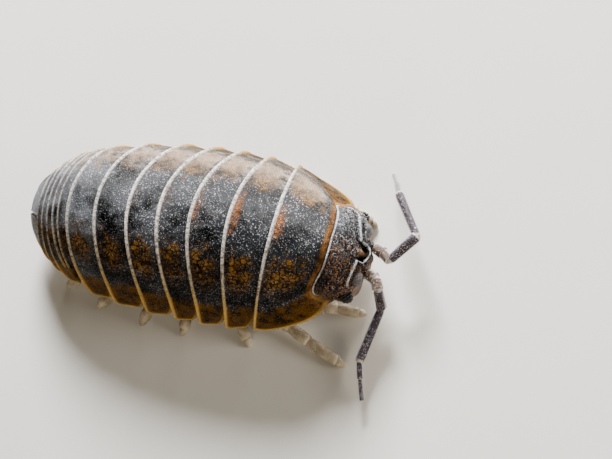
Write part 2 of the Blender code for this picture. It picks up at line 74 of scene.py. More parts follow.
# Dome of the shell, from the side and from above.
BACK_PEAK_X = -0.4
BACK_PEAK_HEIGHT = 5.24
BACK_BASE_HEIGHT = 0.9
BACK_FRONT_LENGTH = 8.8
BACK_REAR_LENGTH = 9.9
BACK_ROUNDNESS = 2.4
PLAN_MIDDLE_X = -0.6
PLAN_HALF_WIDTH = 4.02
PLAN_FRONT_LENGTH = 7.8
PLAN_REAR_LENGTH = 9.7
PLAN_ROUNDNESS = 2.25
RIM_PEAK_HEIGHT = 1.28
RIM_DROP = 0.4
RIM_DROP_LENGTH = 5.4
RIM_FRONT_LIFT = 1.06
RIM_FRONT_START = 2.4
RIM_FRONT_LENGTH = 3.8
BELLY_HEIGHT = 1.95
BELLY_FLATNESS = 4
EDGE_BOW = 0.45
EDGE_BOW_MIDDLE_X = -2.0
EDGE_BOW_REACH = 6.0
FIRST_EDGE_BOW = -0.85
FIRST_EDGE_BOW_POWER = 1.6

# Edges of the seven body plates and of the tail rings: where each crosses the back and the rim.
PLATE_BACK_EDGES = (6.0, 3.5, 1.4, -0.45, -2.05, -3.65, -5.4, -7.0)
PLATE_RIM_EDGES = (6.2, 2.35, 1.0, -0.3, -1.55, -3.05, -4.8, -6.2)
TAIL_BACK_EDGES = (-7.0, -7.6, -7.95, -8.3, -8.65, -9.0)
TAIL_RIM_EDGES = (-6.2, -6.56, -6.62, -7.52, -8.32, -9.07)
TAIL_END_BACK_X = -10.2
TAIL_END_RIM_X = -10.0
TAIL_BARE_RINGS = 2
TAIL_BARE_ANGLE = 62
TAIL_BEAD_WIDTH = 0.09
TAIL_SEED = 20
TAIL_END_THICKNESS = 0.4
TAIL_END_THINNING = 0.75
TAIL_END_THIN_RANGE = (0.3, 0.95)
TAIL_END_TUCK = 0.2
TAIL_END_LIFT = 0.05
# Degrees off the middle of the back, at the front and at the rear of each.
TAIL_END_ANGLES = (
    ("tail_plate", (-28, 28), (-21, 21)),
    ("tail_flap_left", (31, 84), (25, 73)),
    ("tail_flap_right", (-84, -31), (-73, -25)),
)

# Laps, beads and lobes of the plates.
PLATE_STEP = 0.2
PLATE_RISE_POWER = 1.5
TAIL_RING_STEP = 0.14
PLATE_TUCK = 0.42
TUCK_SINK = 0.05
TUCK_SINK_SHARE = 1 / 6
PLATE_THICKNESS = 0.2
BELLY_SINK = 0.12
BELLY_SINK_POWER = 0.7
BELLY_GAP = 0.02
BEAD_WIDTH = 0.15
BEAD_RISE = 0.045
FRONT_BEAD_SHARE = 0.7
GROOVE_DEPTH = 0.02
EDGE_ROUND = 0.07
INNER_EDGE = 0.3
LOBE_FRONT_ANGLE = 76
LOBE_REAR_ANGLE = 85
FIRST_LOBE_FRONT_ANGLE = 86
LOBE_SMALLEST_ANGLE = 50
FRONT_ROUND_SHARE = 0.3
REAR_ROUND_SHARE = 0.2
TAIL_LOBE_CUT = 2
LOBE_START_ANGLE = 65
LOBE_DIP = 0.07
LOBE_DIP_REACH = 6
LOBE_DIP_EDGE = 0.3
PATCH_ANGLE = 38
FRONT_STRIP_MIDDLE = 0.09
FRONT_STRIP_SIDE = 0.095

# How closely the plates are divided, and the radius at which their angles count as lengths.
PLATE_COLUMNS = 241
TAIL_COLUMNS = 201
TAIL_END_COLUMNS = 61
INNER_COLUMNS = 91
PLATE_SPACING = 0.06
TAIL_END_SPACING = 0.05
EDGE_ROWS = 6
BEAD_ROWS = 8
OUTLINE_POINTS = 70
OUTLINE_START = -0.3
SIDE_RADIUS = 4.0
# Height, width and seed of the unevenness of a plate.
PLATE_WAVES = ((0.016, 0.45, 0), (0.008, 0.16, 50))
WAVES_START = 0.15
WAVES_FULL = 0.4

# Tints that change from plate to plate: warm spots on the back, and a grey-blue painted sheen on the far
# plates.
PLATE_ORANGE = (1.0, 0.8, 0.35, 0.12, 0.05, 0.0, 0.0)
PLATE_PAINTED_SHEEN = (0.0, 0.0, 0.08, 0.2, 0.35, 0.55, 0.75)

# Head, turned a little to the left about the neck.
HEAD_TURN = math.radians(4.5)
HEAD_SIDE_SHIFT = -0.1
NECK_X = 5.9
HEAD_START_X = 6.3
HEAD_LENGTH = 1.0
HEAD_HALF_WIDTH = 2.2
HEAD_SQUARENESS = 2.5
# Distance from the rear, height of the top, height of the underside, share of the half width.
HEAD_SECTIONS = (
    (-0.55, 3.9, 1.9, 0.9),
    (-0.27, 4.17, 1.6, 0.99),
    (0.0, 4.16, 1.5, 0.99),
    (0.15, 4.14, 1.3, 1.0),
    (0.4, 3.98, 1.1, 0.95),
    (0.65, 3.7, 1.0, 0.87),
    (0.82, 3.42, 0.97, 0.79),
    (0.94, 3.12, 1.02, 0.7),
    (1.0, 2.9, 1.15, 0.6),
)
HEAD_REAR_GAP = 0.03
NECK_NARROWING = 0.3
NECK_RANGE = (-0.27, -0.45)
EDGE_TIE_RANGE = (0.42, -0.15)
EDGE_OVERHANG = 0.02
FACE_RECESS = 0.45
FACE_RECESS_TOP = 2.95
FACE_RECESS_HEIGHT = 0.9
EYE_PLACE = (6.6, 1.92, 2.28)
EYE_RADII = (0.3, 0.24, 0.26)
EYE_FORM_RADII = (0.27, 0.21, 0.24)
EYE_FACET_RADIUS = 0.078
BROW_X = 7.25
SHIELD_TOP = 2.95
SHIELD_TIP = 2.0
SHIELD_HALF_WIDTH = 0.88
SHIELD_WIDTH_POWER = 0.6
SHIELD_SLOPE = 0.12
SHIELD_BOW = 1.1
# How far each section of the shield stands before the brow, and its share of the size.
SHIELD_SECTIONS = ((-0.3, 0.84), (-0.1, 0.88), (0.05, 0.96), (0.1, 1.0), (0.16, 1.02), (0.2, 1.0),
                   (0.21, 0.95), (0.17, 0.88), (0.14, 0.6), (0.14, 0.3))
SHIELD_RIM_HALF_WIDTH = 0.46
SHIELD_RIM_REACH = 0.42
MARGIN_X = 7.14
MARGIN_CURVE = 0.13
MARGIN_HALF_WIDTH = 1.5
MARGIN_CORNER_WIDTH = 0.38
MARGIN_END_X = 6.25
MARGIN_LOWEST = 2.45
MARGIN_CORNER_LOWEST = 3.08
MARGIN_CORNER_RANGE = (1.4, 1.8)
MARGIN_FADE = 0.15
MARGIN_FADE_GAP = 0.5
BROW_LOBE_PLACE = (7.08, 1.15, 2.68)
BROW_LOBE_RADII = (0.25, 0.34, 0.32)
BROW_LOBE_TILT = math.radians(28)
FEELER_SOCKET_PLACE = (7.1, 0.62, 2.12)
FEELER_SOCKET_RADII = (0.26, 0.3, 0.3)
LIP_PLACE = (6.85, 0, 1.5)
LIP_RADII = (0.3, 0.62, 0.5)
SKIN_GRAIN = 0.032
FAR_AWAY = 9.0

# Relief of the head: bead and groove along its rear, forehead line and slit, pit, bulge, eye rims.
HEAD_BEAD_RISE = 0.022
HEAD_BEAD_MIDDLE = 0.045
HEAD_BEAD_REACH = 0.05
HEAD_BEAD_LOWEST = 2.0
HEAD_GROOVE_DEPTH = 0.025
HEAD_GROOVE_MIDDLE = 0.14
HEAD_GROOVE_WIDTH = 0.05
LINE_RISE = 0.04
LINE_WIDTH = 0.028
SLIT_DEPTH = 0.03
SLIT_MIDDLE = 0.11
SLIT_WIDTH = 0.05
PIT_DEPTH = 0.2
PIT_WIDTH = 0.13
PIT_RANGE = (0.02, 0.35)
BULGE_RISE = 0.1
BULGE_WIDTH = 0.1
BULGE_AHEAD = 0.08
EYE_RIM_RISE = 0.04
EYE_RIM_PLACE = 1.4
EYE_RIM_WIDTH = 0.2
EYE_SINK = 0.12
EYE_SINK_RANGE = (1.2, 0.7)
HEAD_WAVE_HEIGHT = 0.03
HEAD_WAVE_WIDTH = 0.5
HEAD_WAVE_SEED = 9
HEAD_GRAINS = 800
HEAD_GRAIN_SEED = 4
HEAD_GRAIN_RADIUS = 0.06
HEAD_GRAIN_LOWEST = 2.3
HEAD_GRAIN_RISE = 0.018
HEAD_GRAIN_SIDE_RISE = 0.016
HEAD_GRAIN_SIDE_RANGE = (0.4, 1.5)
# How far the grains keep from the rear edge, from the eyes' middles and from the forehead line.
GRAIN_REAR_ROOM = 0.15
GRAIN_EYE_ROOM = 1.3
GRAIN_LINE_ROOM = 0.08

# Gill leaves in pairs on one keel, and the palps of the mouth: place and radii.
GILL_KEEL = ((-7.9, 0, 1.3), (1.25, 0.3, 0.28))
GILL_PAIRS = 5
GILL_LEAF_PLACE = (-7.05, 0.95, 1.22)
GILL_LEAF_RADII = (0.5, 0.85, 0.13)
GILL_LEAF_STEP = 0.42
GILL_LEAF_SHRINK = 0.07
GILL_LEAF_TILT = math.radians(-14)
PALPS = (
    ((6.0, 0.42, 0.76), (0.72, 0.44, 0.2)),
    ((6.5, 0.3, 0.62), (0.3, 0.22, 0.2)),
    ((6.2, 0.78, 0.72), (0.4, 0.16, 0.16)),
)

# Feelers and legs: joints and thickness of each article.
FEELER_RADII = (0.28, 0.25, 0.235, 0.205, 0.13, 0.1)
RIGHT_FEELER = ((7.4, -0.68, 2.15), (7.85, -0.84, 2.2), (8.06, -1.3, 2.1), (8.1, -1.84, 1.15),
                (7.74, -4.46, 1.05), (7.92, -5.18, 0.85), (8.22, -6.1, 0.62))
LEFT_FEELER = ((7.4, 0.6, 2.15), (7.85, 0.42, 2.14), (8.25, 0.14, 2.2), (9.24, 1.42, 2.35),
               (7.62, 3.47, 1.8), (7.28, 3.98, 1.4), (6.74, 4.66, 0.8))
LEG_RADII = (0.36, 0.34, 0.29, 0.27, 0.2)
LEG_ROOT_Y = 1.65
LEG_ROOT_Z = 1.65
ANKLE_LENGTH = 0.42
ANKLE_HEIGHT = 0.3
CLAW_HEIGHT = 0.05
Leg = namedtuple("Leg", "root_x knee shin foot")
RIGHT_LEGS = (
    Leg(4.35, (4.7, 2.35, 1.15), (5.9, 2.1, 0.75), (7.1, 1.95)),
    Leg(2.1, (2.95, 2.95, 0.85), (4.9, 3.85, 0.55), (6.8, 4.55)),
    Leg(0.45, (1.0, 2.95, 1.0), (1.5, 3.75, 0.6), (2.0, 4.5)),
    Leg(-1.0, (-1.1, 3.0, 1.0), (-1.3, 3.85, 0.6), (-1.5, 4.6)),
    Leg(-2.5, (-2.9, 2.95, 1.0), (-3.3, 3.8, 0.6), (-3.7, 4.5)),
    Leg(-4.2, (-4.8, 2.85, 0.95), (-5.5, 3.5, 0.5), (-6.2, 4.1)),
    Leg(-5.8, (-6.5, 2.5, 0.9), (-7.3, 2.9, 0.5), (-8.1, 3.3)),
)
LEFT_LEGS = (
    Leg(4.35, (4.6, 2.4, 1.15), (5.5, 2.6, 0.75), (6.4, 2.2)),
    Leg(2.1, (2.3, 2.85, 0.95), (2.8, 3.5, 0.6), (3.4, 3.85)),
    Leg(0.45, (0.8, 2.95, 1.0), (1.1, 3.8, 0.6), (1.3, 4.55)),
    Leg(-1.0, (-0.9, 3.0, 1.0), (-0.9, 3.85, 0.6), (-0.9, 4.6)),
    Leg(-2.5, (-2.8, 2.95, 1.0), (-3.1, 3.8, 0.6), (-3.4, 4.55)),
    Leg(-4.2, (-4.9, 2.85, 0.95), (-5.7, 3.45, 0.5), (-6.5, 3.95)),
    Leg(-5.8, (-6.4, 2.55, 0.9), (-7.0, 3.05, 0.5), (-7.6, 3.6)),
)

# Shape of an article: shares of its length and of its radius.
FEELER_PROFILE = (
    (-0.05, 0.5), (-0.02, 0.7), (0.02, 0.82), (0.05, 0.9), (0.1, 0.94), (0.2, 0.96), (0.4, 0.98),
    (0.55, 1.0), (0.7, 1.02), (0.8, 1.04), (0.87, 1.05), (0.92, 1.05), (0.96, 1.01), (0.99, 0.92),
    (1.005, 0.78), (1.01, 0.6),
)
LEG_PROFILE = (
    (-0.06, 0.55), (-0.03, 0.72), (0.0, 0.8), (0.05, 0.86), (0.12, 0.92), (0.25, 0.97), (0.4, 1.0),
    (0.55, 1.0), (0.7, 0.98), (0.82, 0.97), (0.9, 0.97), (0.95, 0.94), (0.99, 0.86), (1.01, 0.72),
    (1.02, 0.5),
)
CLAW_PROFILE = (
    (-0.08, 0.6), (0.05, 0.95), (0.25, 1.0), (0.5, 0.9), (0.7, 0.7), (0.85, 0.45), (0.95, 0.25),
    (1.0, 0.12),
)
JOINT_SHARE = 0.72
FLUTE_COUNT = 7
ARTICLE_WAVE_HEIGHT = 0.02
ARTICLE_WAVE_WIDTH = 0.5
ARTICLE_SEED = 300
FLUTE_RANGE = (0.05, 0.2)
# A direction that no article of a limb runs along.
ASKEW = (0.31, 0.12, 0.94)
FEELER_SIDES = 28
FEELER_FLUTES = 0.035
LEG_SIDES = 20
LEG_FLUTES = 0.02
CLAW_SIDES = 16
CLAW_NUMBER = 5

Edge = namedtuple("Edge", "back_x rim_x bow bow_power")
Arch = namedtuple("Arch", "back_x rim_x bow bow_power half_width back_z rim_z")

# Measures kept at every point, by which the finishes are painted. On a plate: millimetres ahead of
# its rear rim, degrees off the middle of the back, millimetres from its outline, 1 on the belly,
# share of the way from its front to its rear, and the two tints of the whole plate: warm spots and
# painted sheen.
SHELL_LABELS = ("ahead", "angle", "edge", "under", "share", "orange", "painted_sheen")
# On the head: distance from its rear, grains, distance from the forehead line, its pit and bulge,
# distance from the brow lobes, and place to the side and in height.
HEAD_LABELS = ("rear", "grain", "margin", "pit", "bulge", "brow_lobe", "side", "height")
# On a limb: share of the article's length, and number of the article.
LIMB_LABELS = ("along", "article")


def model_shift():
    """From the solids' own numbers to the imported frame, read from the mouthparts' box."""
    mouth_front = 6.75
    low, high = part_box("mouthparts")
    return np.array((high[0] / MM - mouth_front, (low[1] + high[1]) / 2 / MM, 0.0))


SHIFT = model_shift()


# Shapes of the dome


def superellipse(offset, front_length, rear_length, roundness):
    length = np.where(offset > 0, front_length, rear_length)
    share = np.minimum(1.0, np.abs(offset) / length)
    return (1 - share ** roundness) ** (1 / roundness)


def back_height(x):
    rise = BACK_PEAK_HEIGHT - BACK_BASE_HEIGHT
    return BACK_BASE_HEIGHT + rise * superellipse(
        x - BACK_PEAK_X, BACK_FRONT_LENGTH, BACK_REAR_LENGTH, BACK_ROUNDNESS)


def plan_half_width(x):
    return PLAN_HALF_WIDTH * superellipse(
        x - PLAN_MIDDLE_X, PLAN_FRONT_LENGTH, PLAN_REAR_LENGTH, PLAN_ROUNDNESS)


def rim_height(x):
    drop = RIM_DROP * np.minimum(1.0, np.abs(x - PLAN_MIDDLE_X) / RIM_DROP_LENGTH) ** 2
    lift = RIM_FRONT_LIFT * np.maximum(0.0, (x - RIM_FRONT_START) / RIM_FRONT_LENGTH) ** 2
    return RIM_PEAK_HEIGHT - drop + lift


def bowed_edges(back_edges, rim_edges):
    edges = []
    for back_x, rim_x in zip(back_edges, rim_edges):
        reach = (back_x - EDGE_BOW_MIDDLE_X) / EDGE_BOW_REACH
        edges.append(Edge(back_x, rim_x, EDGE_BOW * max(0.0, 1 - reach ** 2), 1))
    return edges


def plate_edges():
    edges = bowed_edges(PLATE_BACK_EDGES, PLATE_RIM_EDGES)
    edges[0] = edges[0]._replace(bow=FIRST_EDGE_BOW, bow_power=FIRST_EDGE_BOW_POWER)
    return edges


def arch_between(front, rear, share):
    """The arch across the body at each share of the way from the front edge to the rear edge."""
    back_x = front.back_x + (rear.back_x - front.back_x) * share
    rim_x = front.rim_x + (rear.rim_x - front.rim_x) * share
    bow = front.bow + (rear.bow - front.bow) * share
    bow_power = front.bow_power + (rear.bow_power - front.bow_power) * np.clip(share, 0, 1)
    return Arch(back_x, rim_x, bow, bow_power,
                plan_half_width(rim_x), back_height(back_x), rim_height(rim_x))


def arch_x(arch, height):
    down = np.clip(1 - (height - arch.rim_z) / (arch.back_z - arch.rim_z), 0, 1)
    bow_place = down ** arch.bow_power
    bow = arch.bow * 4 * bow_place * (1 - bow_place)
    return arch.back_x + (arch.rim_x - arch.back_x) * down + bow


def shell_points(arch, angle, lift):
    """Points on the dome; angle is 0 on the back and a quarter turn at the left rim."""
    y = arch.half_width * np.sin(angle)
    z = arch.rim_z + (arch.back_z - arch.rim_z) * np.cos(angle)
    return np.stack([arch_x(arch, z), y + lift * np.sin(angle), z + lift * np.cos(angle)], axis=-1)


def belly_points(arch, angle, sink):
    side = np.sin(angle)
    flat = (1 - np.abs(side) ** BELLY_FLATNESS) ** (1 / BELLY_FLATNESS)
    z = arch.rim_z + (BELLY_HEIGHT - arch.rim_z) * flat
    y = (arch.half_width - PLATE_THICKNESS) * side
    return np.stack([arch_x(arch, z), y, z - sink * flat], axis=-1)


def wobble(points, size, seed):
    """Smooth made-up unevenness between -1 and 1, with bumps about as wide as size."""
    wave_count = 7
    shortest, longest = 0.6, 1.5
    generator = np.random.default_rng(seed)
    total = np.zeros(points.shape[:-1])
    for _ in range(wave_count):
        direction = generator.normal(size=3)
        direction *= math.pi / (size * np.linalg.norm(direction))
        direction *= generator.uniform(shortest, longest)
        total += np.sin(points @ direction + generator.uniform(0, 2 * math.pi))
    return total / 4


def smooth_step(value, low, high):
    share = np.clip((value - low) / (high - low), 0, 1)
    return share * share * (3 - 2 * share)


def bell(value, middle, width):
    return np.exp(-((value - middle) / width) ** 2)


def dome(value, middle, reach):
    """A round bump: 1 at the middle and 0 from the reach on."""
    return np.sqrt(np.clip(1 - ((value - middle) / reach) ** 2, 0, 1))


# Meshes


def face_outwards(mesh):
    bm = bmesh.new()
    bm.from_mesh(mesh)
    bmesh.ops.recalc_face_normals(bm, faces=bm.faces)
    bm.to_mesh(mesh)
    bm.free()


def add_object(name, data):
    node = bpy.data.objects.new(name, data)
    bpy.context.scene.collection.objects.link(node)
    return node


def make_mesh(name, points, faces, material, attributes):
    """A piece in metres at the origin, with one number per point for each attribute."""
    mesh = bpy.data.meshes.new(name)
    placed = (np.asarray(points).reshape(-1, 3) + SHIFT) * MM
    mesh.from_pydata(placed.tolist(), [], faces)
    for label, values in attributes.items():
        layer = mesh.attributes.new(label, "FLOAT", "POINT")
        layer.data.foreach_set("value", np.asarray(values, dtype=np.float32).ravel())
    face_outwards(mesh)
    mesh.shade_smooth()
    mesh.materials.append(material)
    return add_object(name, mesh)


def finish_piece(piece, node):
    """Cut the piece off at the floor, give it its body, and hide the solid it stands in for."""
    for vert in piece.data.vertices:
        vert.co.z = max(vert.co.z, 0.0)
    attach(piece, "root")
    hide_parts(node)


def loop_faces(rows, columns):
    """Quads between neighbouring closed loops that hold the same number of points."""
    index = np.arange(rows * columns).reshape(rows, columns)
    following = np.roll(index, -1, axis=1)
    quads = np.stack([index[:-1], following[:-1], following[1:], index[1:]], axis=-1)
    return quads.reshape(-1, 4).tolist()


class Build:
    """Points, faces and attributes gathered from several closed shapes."""

    def __init__(self, labels=()):
        self.points = []
        self.faces = []
        self.values = {label: [] for label in labels}
        self.count = 0

    def add(self, points, faces, values):
        flat = points.reshape(-1, 3)
        self.faces.extend([[index + self.count for index in face] for face in faces])
        self.points.append(flat)
        for label, parts in self.values.items():
            filled = np.broadcast_to(values[label], points.shape[:-1])
            parts.append(filled.astype(float).ravel())
        self.count += len(flat)

    def piece(self, name, material):
        values = {label: np.concatenate(parts) for label, parts in self.values.items()}
        return make_mesh(name, np.concatenate(self.points), self.faces, material, values)


def lobe_limit(share, front_angle=LOBE_FRONT_ANGLE, cut=0):
    """How far down a plate reaches, in degrees: its lower corners are rounded off."""
    front_round = np.maximum(0.0, 1 - share / FRONT_ROUND_SHARE) ** 2
    rear_round = np.maximum(0.0, 1 - (1 - share) / REAR_ROUND_SHARE) ** 2
    limit = 90 - (90 - front_angle) * front_round - (90 - LOBE_REAR_ANGLE) * rear_round
    return np.maximum(limit, LOBE_SMALLEST_ANGLE) - cut


def bare_limit(share):
    return np.full_like(share, TAIL_BARE_ANGLE)


def distance_to_outline(along, side, outline_along, outline_side):
    gap_along = along[..., None] - outline_along
    gap_side = side[..., None] - outline_side
    return np.sqrt((gap_along ** 2 + gap_side ** 2).min(axis=-1))


def bead_rows(length, tuck, spacing, bead_width):
    """Distances ahead of the rear edge: close together over the bead, then evenly spaced."""
    edge = EDGE_ROUND * (1 - np.cos(np.linspace(0, math.pi / 2, EDGE_ROWS)))
    bead_end = max(bead_width * 1.5, EDGE_ROUND * 1.8)
    bead = np.linspace(EDGE_ROUND, bead_end, BEAD_ROWS)[1:]
    plain_count = max(3, int((length + tuck - bead[-1]) / spacing))
    plain = np.linspace(bead[-1], length + tuck, plain_count)[1:]
    return np.concatenate([edge, bead, plain])[:, None]


def bead_lift(distance, bead_width=BEAD_WIDTH):
    """Rounded edge, and behind it a low raised bead with a shallow groove."""
    share = np.clip(1 - distance / EDGE_ROUND, 0, 1)
    rounding = -EDGE_ROUND * (1 - np.sqrt(1 - share ** 2))
    bead = BEAD_RISE * dome(distance, bead_width / 2, bead_width / 2)
    groove = -GROOVE_DEPTH * bell(distance, bead_width * 1.4, bead_width * 0.4)
    return rounding + bead + groove


def tuck_sink(share):
    """How deep a plate sinks where it slides below the one ahead of it."""
    return TUCK_SINK * np.clip(-share / TUCK_SINK_SHARE, 0, 1)


def rim_spread(count):
    """Shares from -1 to 1, spaced closer towards both ends."""
    even = np.linspace(-1, 1, count)[None, :]
    return even * (1.25 - 0.25 * even ** 2)


def add_shell(build, outer, inner, measures, inner_degrees, orange, painted_sheen):
    """Close one plate from its outer and inner points, and note what its finish needs."""
    ahead, degrees, edge, share = measures
    points = np.concatenate([outer, inner], axis=1)
    rows, total = points.shape[:2]
    faces = loop_faces(rows, total)
    for row in (0, rows - 1):
        faces.extend(strip_between_halves(row * total, outer.shape[1], inner.shape[1]))

    def both(outside, inside):
        return np.concatenate([np.broadcast_to(outside, outer.shape[:2]),
                               np.broadcast_to(inside, inner.shape[:2])], axis=1)

    build.add(points, faces, {
        "ahead": both(ahead, 1.0), "angle": both(degrees, inner_degrees),
        "edge": both(edge, INNER_EDGE), "under": both(0.0, 1.0), "share": both(share, share),
        "orange": orange, "painted_sheen": painted_sheen})


def add_plate(build, front, rear, limit_of, step, orange, painted_sheen, seed, first=False,
              columns=PLATE_COLUMNS, bead_width=BEAD_WIDTH):
    """One closed plate: the dome from rim to rim outside, the belly inside."""
    back_length = front.back_x - rear.back_x
    rim_length = front.rim_x - rear.rim_x
    ahead = bead_rows(back_length, 0.0 if first else PLATE_TUCK, PLATE_SPACING, bead_width)
    share = 1 - ahead / back_length
    arch = arch_between(front, rear, share)
    limit = limit_of(share)
    degrees = rim_spread(columns) * limit
    angle = np.radians(degrees)

    local_length = back_length + (rim_length - back_length) * np.clip(1 - np.cos(angle), 0, 1)
    ahead_here = np.maximum(0.0, (1 - share) * local_length)
    outline_share = np.linspace(OUTLINE_START, 1, OUTLINE_POINTS)
    side_gap = distance_to_outline(
        share * rim_length + 0 * angle, np.abs(angle) * SIDE_RADIUS,
        outline_share * rim_length, np.radians(limit_of(outline_share)) * SIDE_RADIUS)
    rim_gap = np.minimum(ahead_here, side_gap)
    front_gap = share * local_length
    edge = np.minimum(rim_gap, np.maximum(front_gap, 0)) if first else rim_gap

    lift = step * np.clip(share, 0, 1) ** PLATE_RISE_POWER + bead_lift(rim_gap, bead_width)
    dip = bell(np.abs(degrees), LOBE_START_ANGLE, LOBE_DIP_REACH)
    lift -= LOBE_DIP * dip * smooth_step(edge, 0, LOBE_DIP_EDGE)
    lift -= tuck_sink(share)
    if first:
        lift += bead_lift(front_gap) * FRONT_BEAD_SHARE
    plain = shell_points(arch, angle, lift)
    for height, width, seed_step in PLATE_WAVES:
        waves = height * wobble(plain, width, seed + seed_step)
        lift = lift + waves * smooth_step(edge, WAVES_START, WAVES_FULL)
    outer = shell_points(arch, angle, lift)

    inner_degrees = -rim_spread(INNER_COLUMNS) * limit
    sink = BELLY_SINK * np.sin(np.clip(share, 0, 1) * math.pi) ** BELLY_SINK_POWER + BELLY_GAP
    inner = belly_points(arch, np.radians(inner_degrees), sink)
    add_shell(build, outer, inner, (ahead_here, degrees, edge, share), inner_degrees, orange, painted_sheen)


def add_tail_end(build, front, rear, front_angles, rear_angles):
    """A small curved plate on the dome between two edges."""
    length = front.back_x - rear.back_x
    ahead = bead_rows(length, TAIL_END_TUCK, TAIL_END_SPACING, TAIL_BEAD_WIDTH)
    share = 1 - ahead / length
    arch = arch_between(front, rear, share)
    across = np.linspace(0, 1, TAIL_END_COLUMNS)[None, :]
    low = front_angles[0] + (rear_angles[0] - front_angles[0]) * share
    high = front_angles[1] + (rear_angles[1] - front_angles[1]) * share
    degrees = low + (high - low) * across
    angle = np.radians(degrees)
    side_gap = np.radians(np.minimum(degrees - low, high - degrees)) * arch.half_width
    edge = np.minimum(ahead, side_gap)
    lift = bead_lift(edge, TAIL_BEAD_WIDTH) - tuck_sink(share) + TAIL_END_LIFT
    outer = shell_points(arch, angle, lift)
    thinning = TAIL_END_THINNING * smooth_step(share, *TAIL_END_THIN_RANGE)
    depth = TAIL_END_THICKNESS * (1 - thinning)
    inner = shell_points(arch, angle, 0 * lift - depth)[:, ::-1]
    # The tail end gets no warm spots and the full painted sheen.
    add_shell(build, outer, inner, (ahead, degrees, edge, share), degrees[:, ::-1], 0.0, 1.0)


def strip_between_halves(start, outer_count, inner_count):
    """Close one end of a loop that runs over the dome and back along the belly."""
    faces = []
    outer_index = range(start, start + outer_count)
    inner_index = range(start + outer_count + inner_count - 1, start + outer_count - 1, -1)
    i = 0
    j = 0
    while i < outer_count - 1 or j < inner_count - 1:
        outer_share = (i + 1) / (outer_count - 1)
        inner_share = (j + 1) / (inner_count - 1)
        if i < outer_count - 1 and outer_share <= inner_share:
            faces.append([outer_index[i], outer_index[i + 1], inner_index[j]])
            i += 1
        else:
            faces.append([outer_index[i], inner_index[j + 1], inner_index[j]])
            j += 1
    return faces


def add_round(build, loops, values=None):
    """A closed shape from a row of loops, each end closed by a fan to its middle."""
    rows, columns = loops.shape[:2]
    faces = loop_faces(rows, columns)
    start = rows * columns
    ends = np.stack([loops[0].mean(axis=0), loops[-1].mean(axis=0)])
    for i in range(columns):
        j = (i + 1) % columns
        faces.append([j, i, start])
        faces.append([start - columns + i, start - columns + j, start + 1])
    points = np.concatenate([loops.reshape(-1, 3), ends])
    flat = {}
    for label, value in (values or {}).items():
        filled = np.broadcast_to(value, (rows, columns))
        flat[label] = np.concatenate([filled.ravel(), [filled[0, 0], filled[-1, 0]]])
    build.add(points, faces, flat)


def ellipsoid_loops(centre, radii, turn=None, rows=20, columns=28):
    """Loops of an egg shape from its lower to its upper end."""
    height = np.linspace(-math.pi / 2, math.pi / 2, rows + 2)[1:-1, None]
    around = np.linspace(0, 2 * math.pi, columns, endpoint=False)[None, :]
    x = radii[0] * np.cos(height) * np.cos(around)
    y = radii[1] * np.cos(height) * np.sin(around)
    z = radii[2] * np.sin(height) + 0 * around
    points = np.stack([x, y, z], axis=-1)
    if turn is not None:
        points = points @ np.array(turn).T
    return points + np.array(centre)


def on_side(place, side):
    """A place given for the left, on the side that is asked for."""
    return place[0], place[1] * side, place[2]


def unit(vector):
    return vector / np.linalg.norm(vector)


def add_article(build, start, end, radius, number, sides, flutes, profile):
    """One article of a limb: narrow where it starts, with a collar at its far joint."""
    start = np.array(start, dtype=float)
    end = np.array(end, dtype=float)
    direction = unit(end - start)
    side = unit(np.cross(direction, ASKEW))
    other = np.cross(direction, side)
    turn = np.linspace(0, 2 * math.pi, sides, endpoint=False)
    shares, widths = np.array(profile).T[:, :, None]
    flute = flutes * np.cos(turn * FLUTE_COUNT) * smooth_step(shares, *FLUTE_RANGE)
    widths = widths * radius * (1 + flute)
    centre = start + (end - start) * shares[..., None]
    loops = (centre + side * (widths * np.cos(turn))[..., None]
             + other * (widths * np.sin(turn))[..., None])
    waves = ARTICLE_WAVE_HEIGHT * wobble(loops, ARTICLE_WAVE_WIDTH, ARTICLE_SEED + number)
    add_round(build, loops + direction * waves[..., None], {"along": shares, "article": number})


def limb_build(joints, radii, sides, flutes, profile):
    build = Build(LIMB_LABELS)
    for number, (start, end) in enumerate(zip(joints, joints[1:])):
        add_article(build, start, end, radii[number], number, sides, flutes, profile)
        if number:
            radius = JOINT_SHARE * min(radii[number], radii[number - 1])
            ball = ellipsoid_loops(start, (radius, radius, radius), rows=10, columns=16)
            add_round(build, ball, {"along": 1.0, "article": number})
    return build


# Head


def turned(x, y, z):
    """A place on the head once it is turned about the neck."""
    spin = Matrix.Rotation(HEAD_TURN, 3, "Z")
    return np.array(spin @ Vector((x - NECK_X, y, z)) + Vector((NECK_X, HEAD_SIDE_SHIFT, 0)))


def unturned(points):
    """The same places before the head was turned."""
    spin = np.array(Matrix.Rotation(-HEAD_TURN, 3, "Z"))
    return (points - (NECK_X, HEAD_SIDE_SHIFT, 0)) @ spin.T + (NECK_X, 0, 0)


def signed_power(value, power):
    return np.sign(value) * np.abs(value) ** power


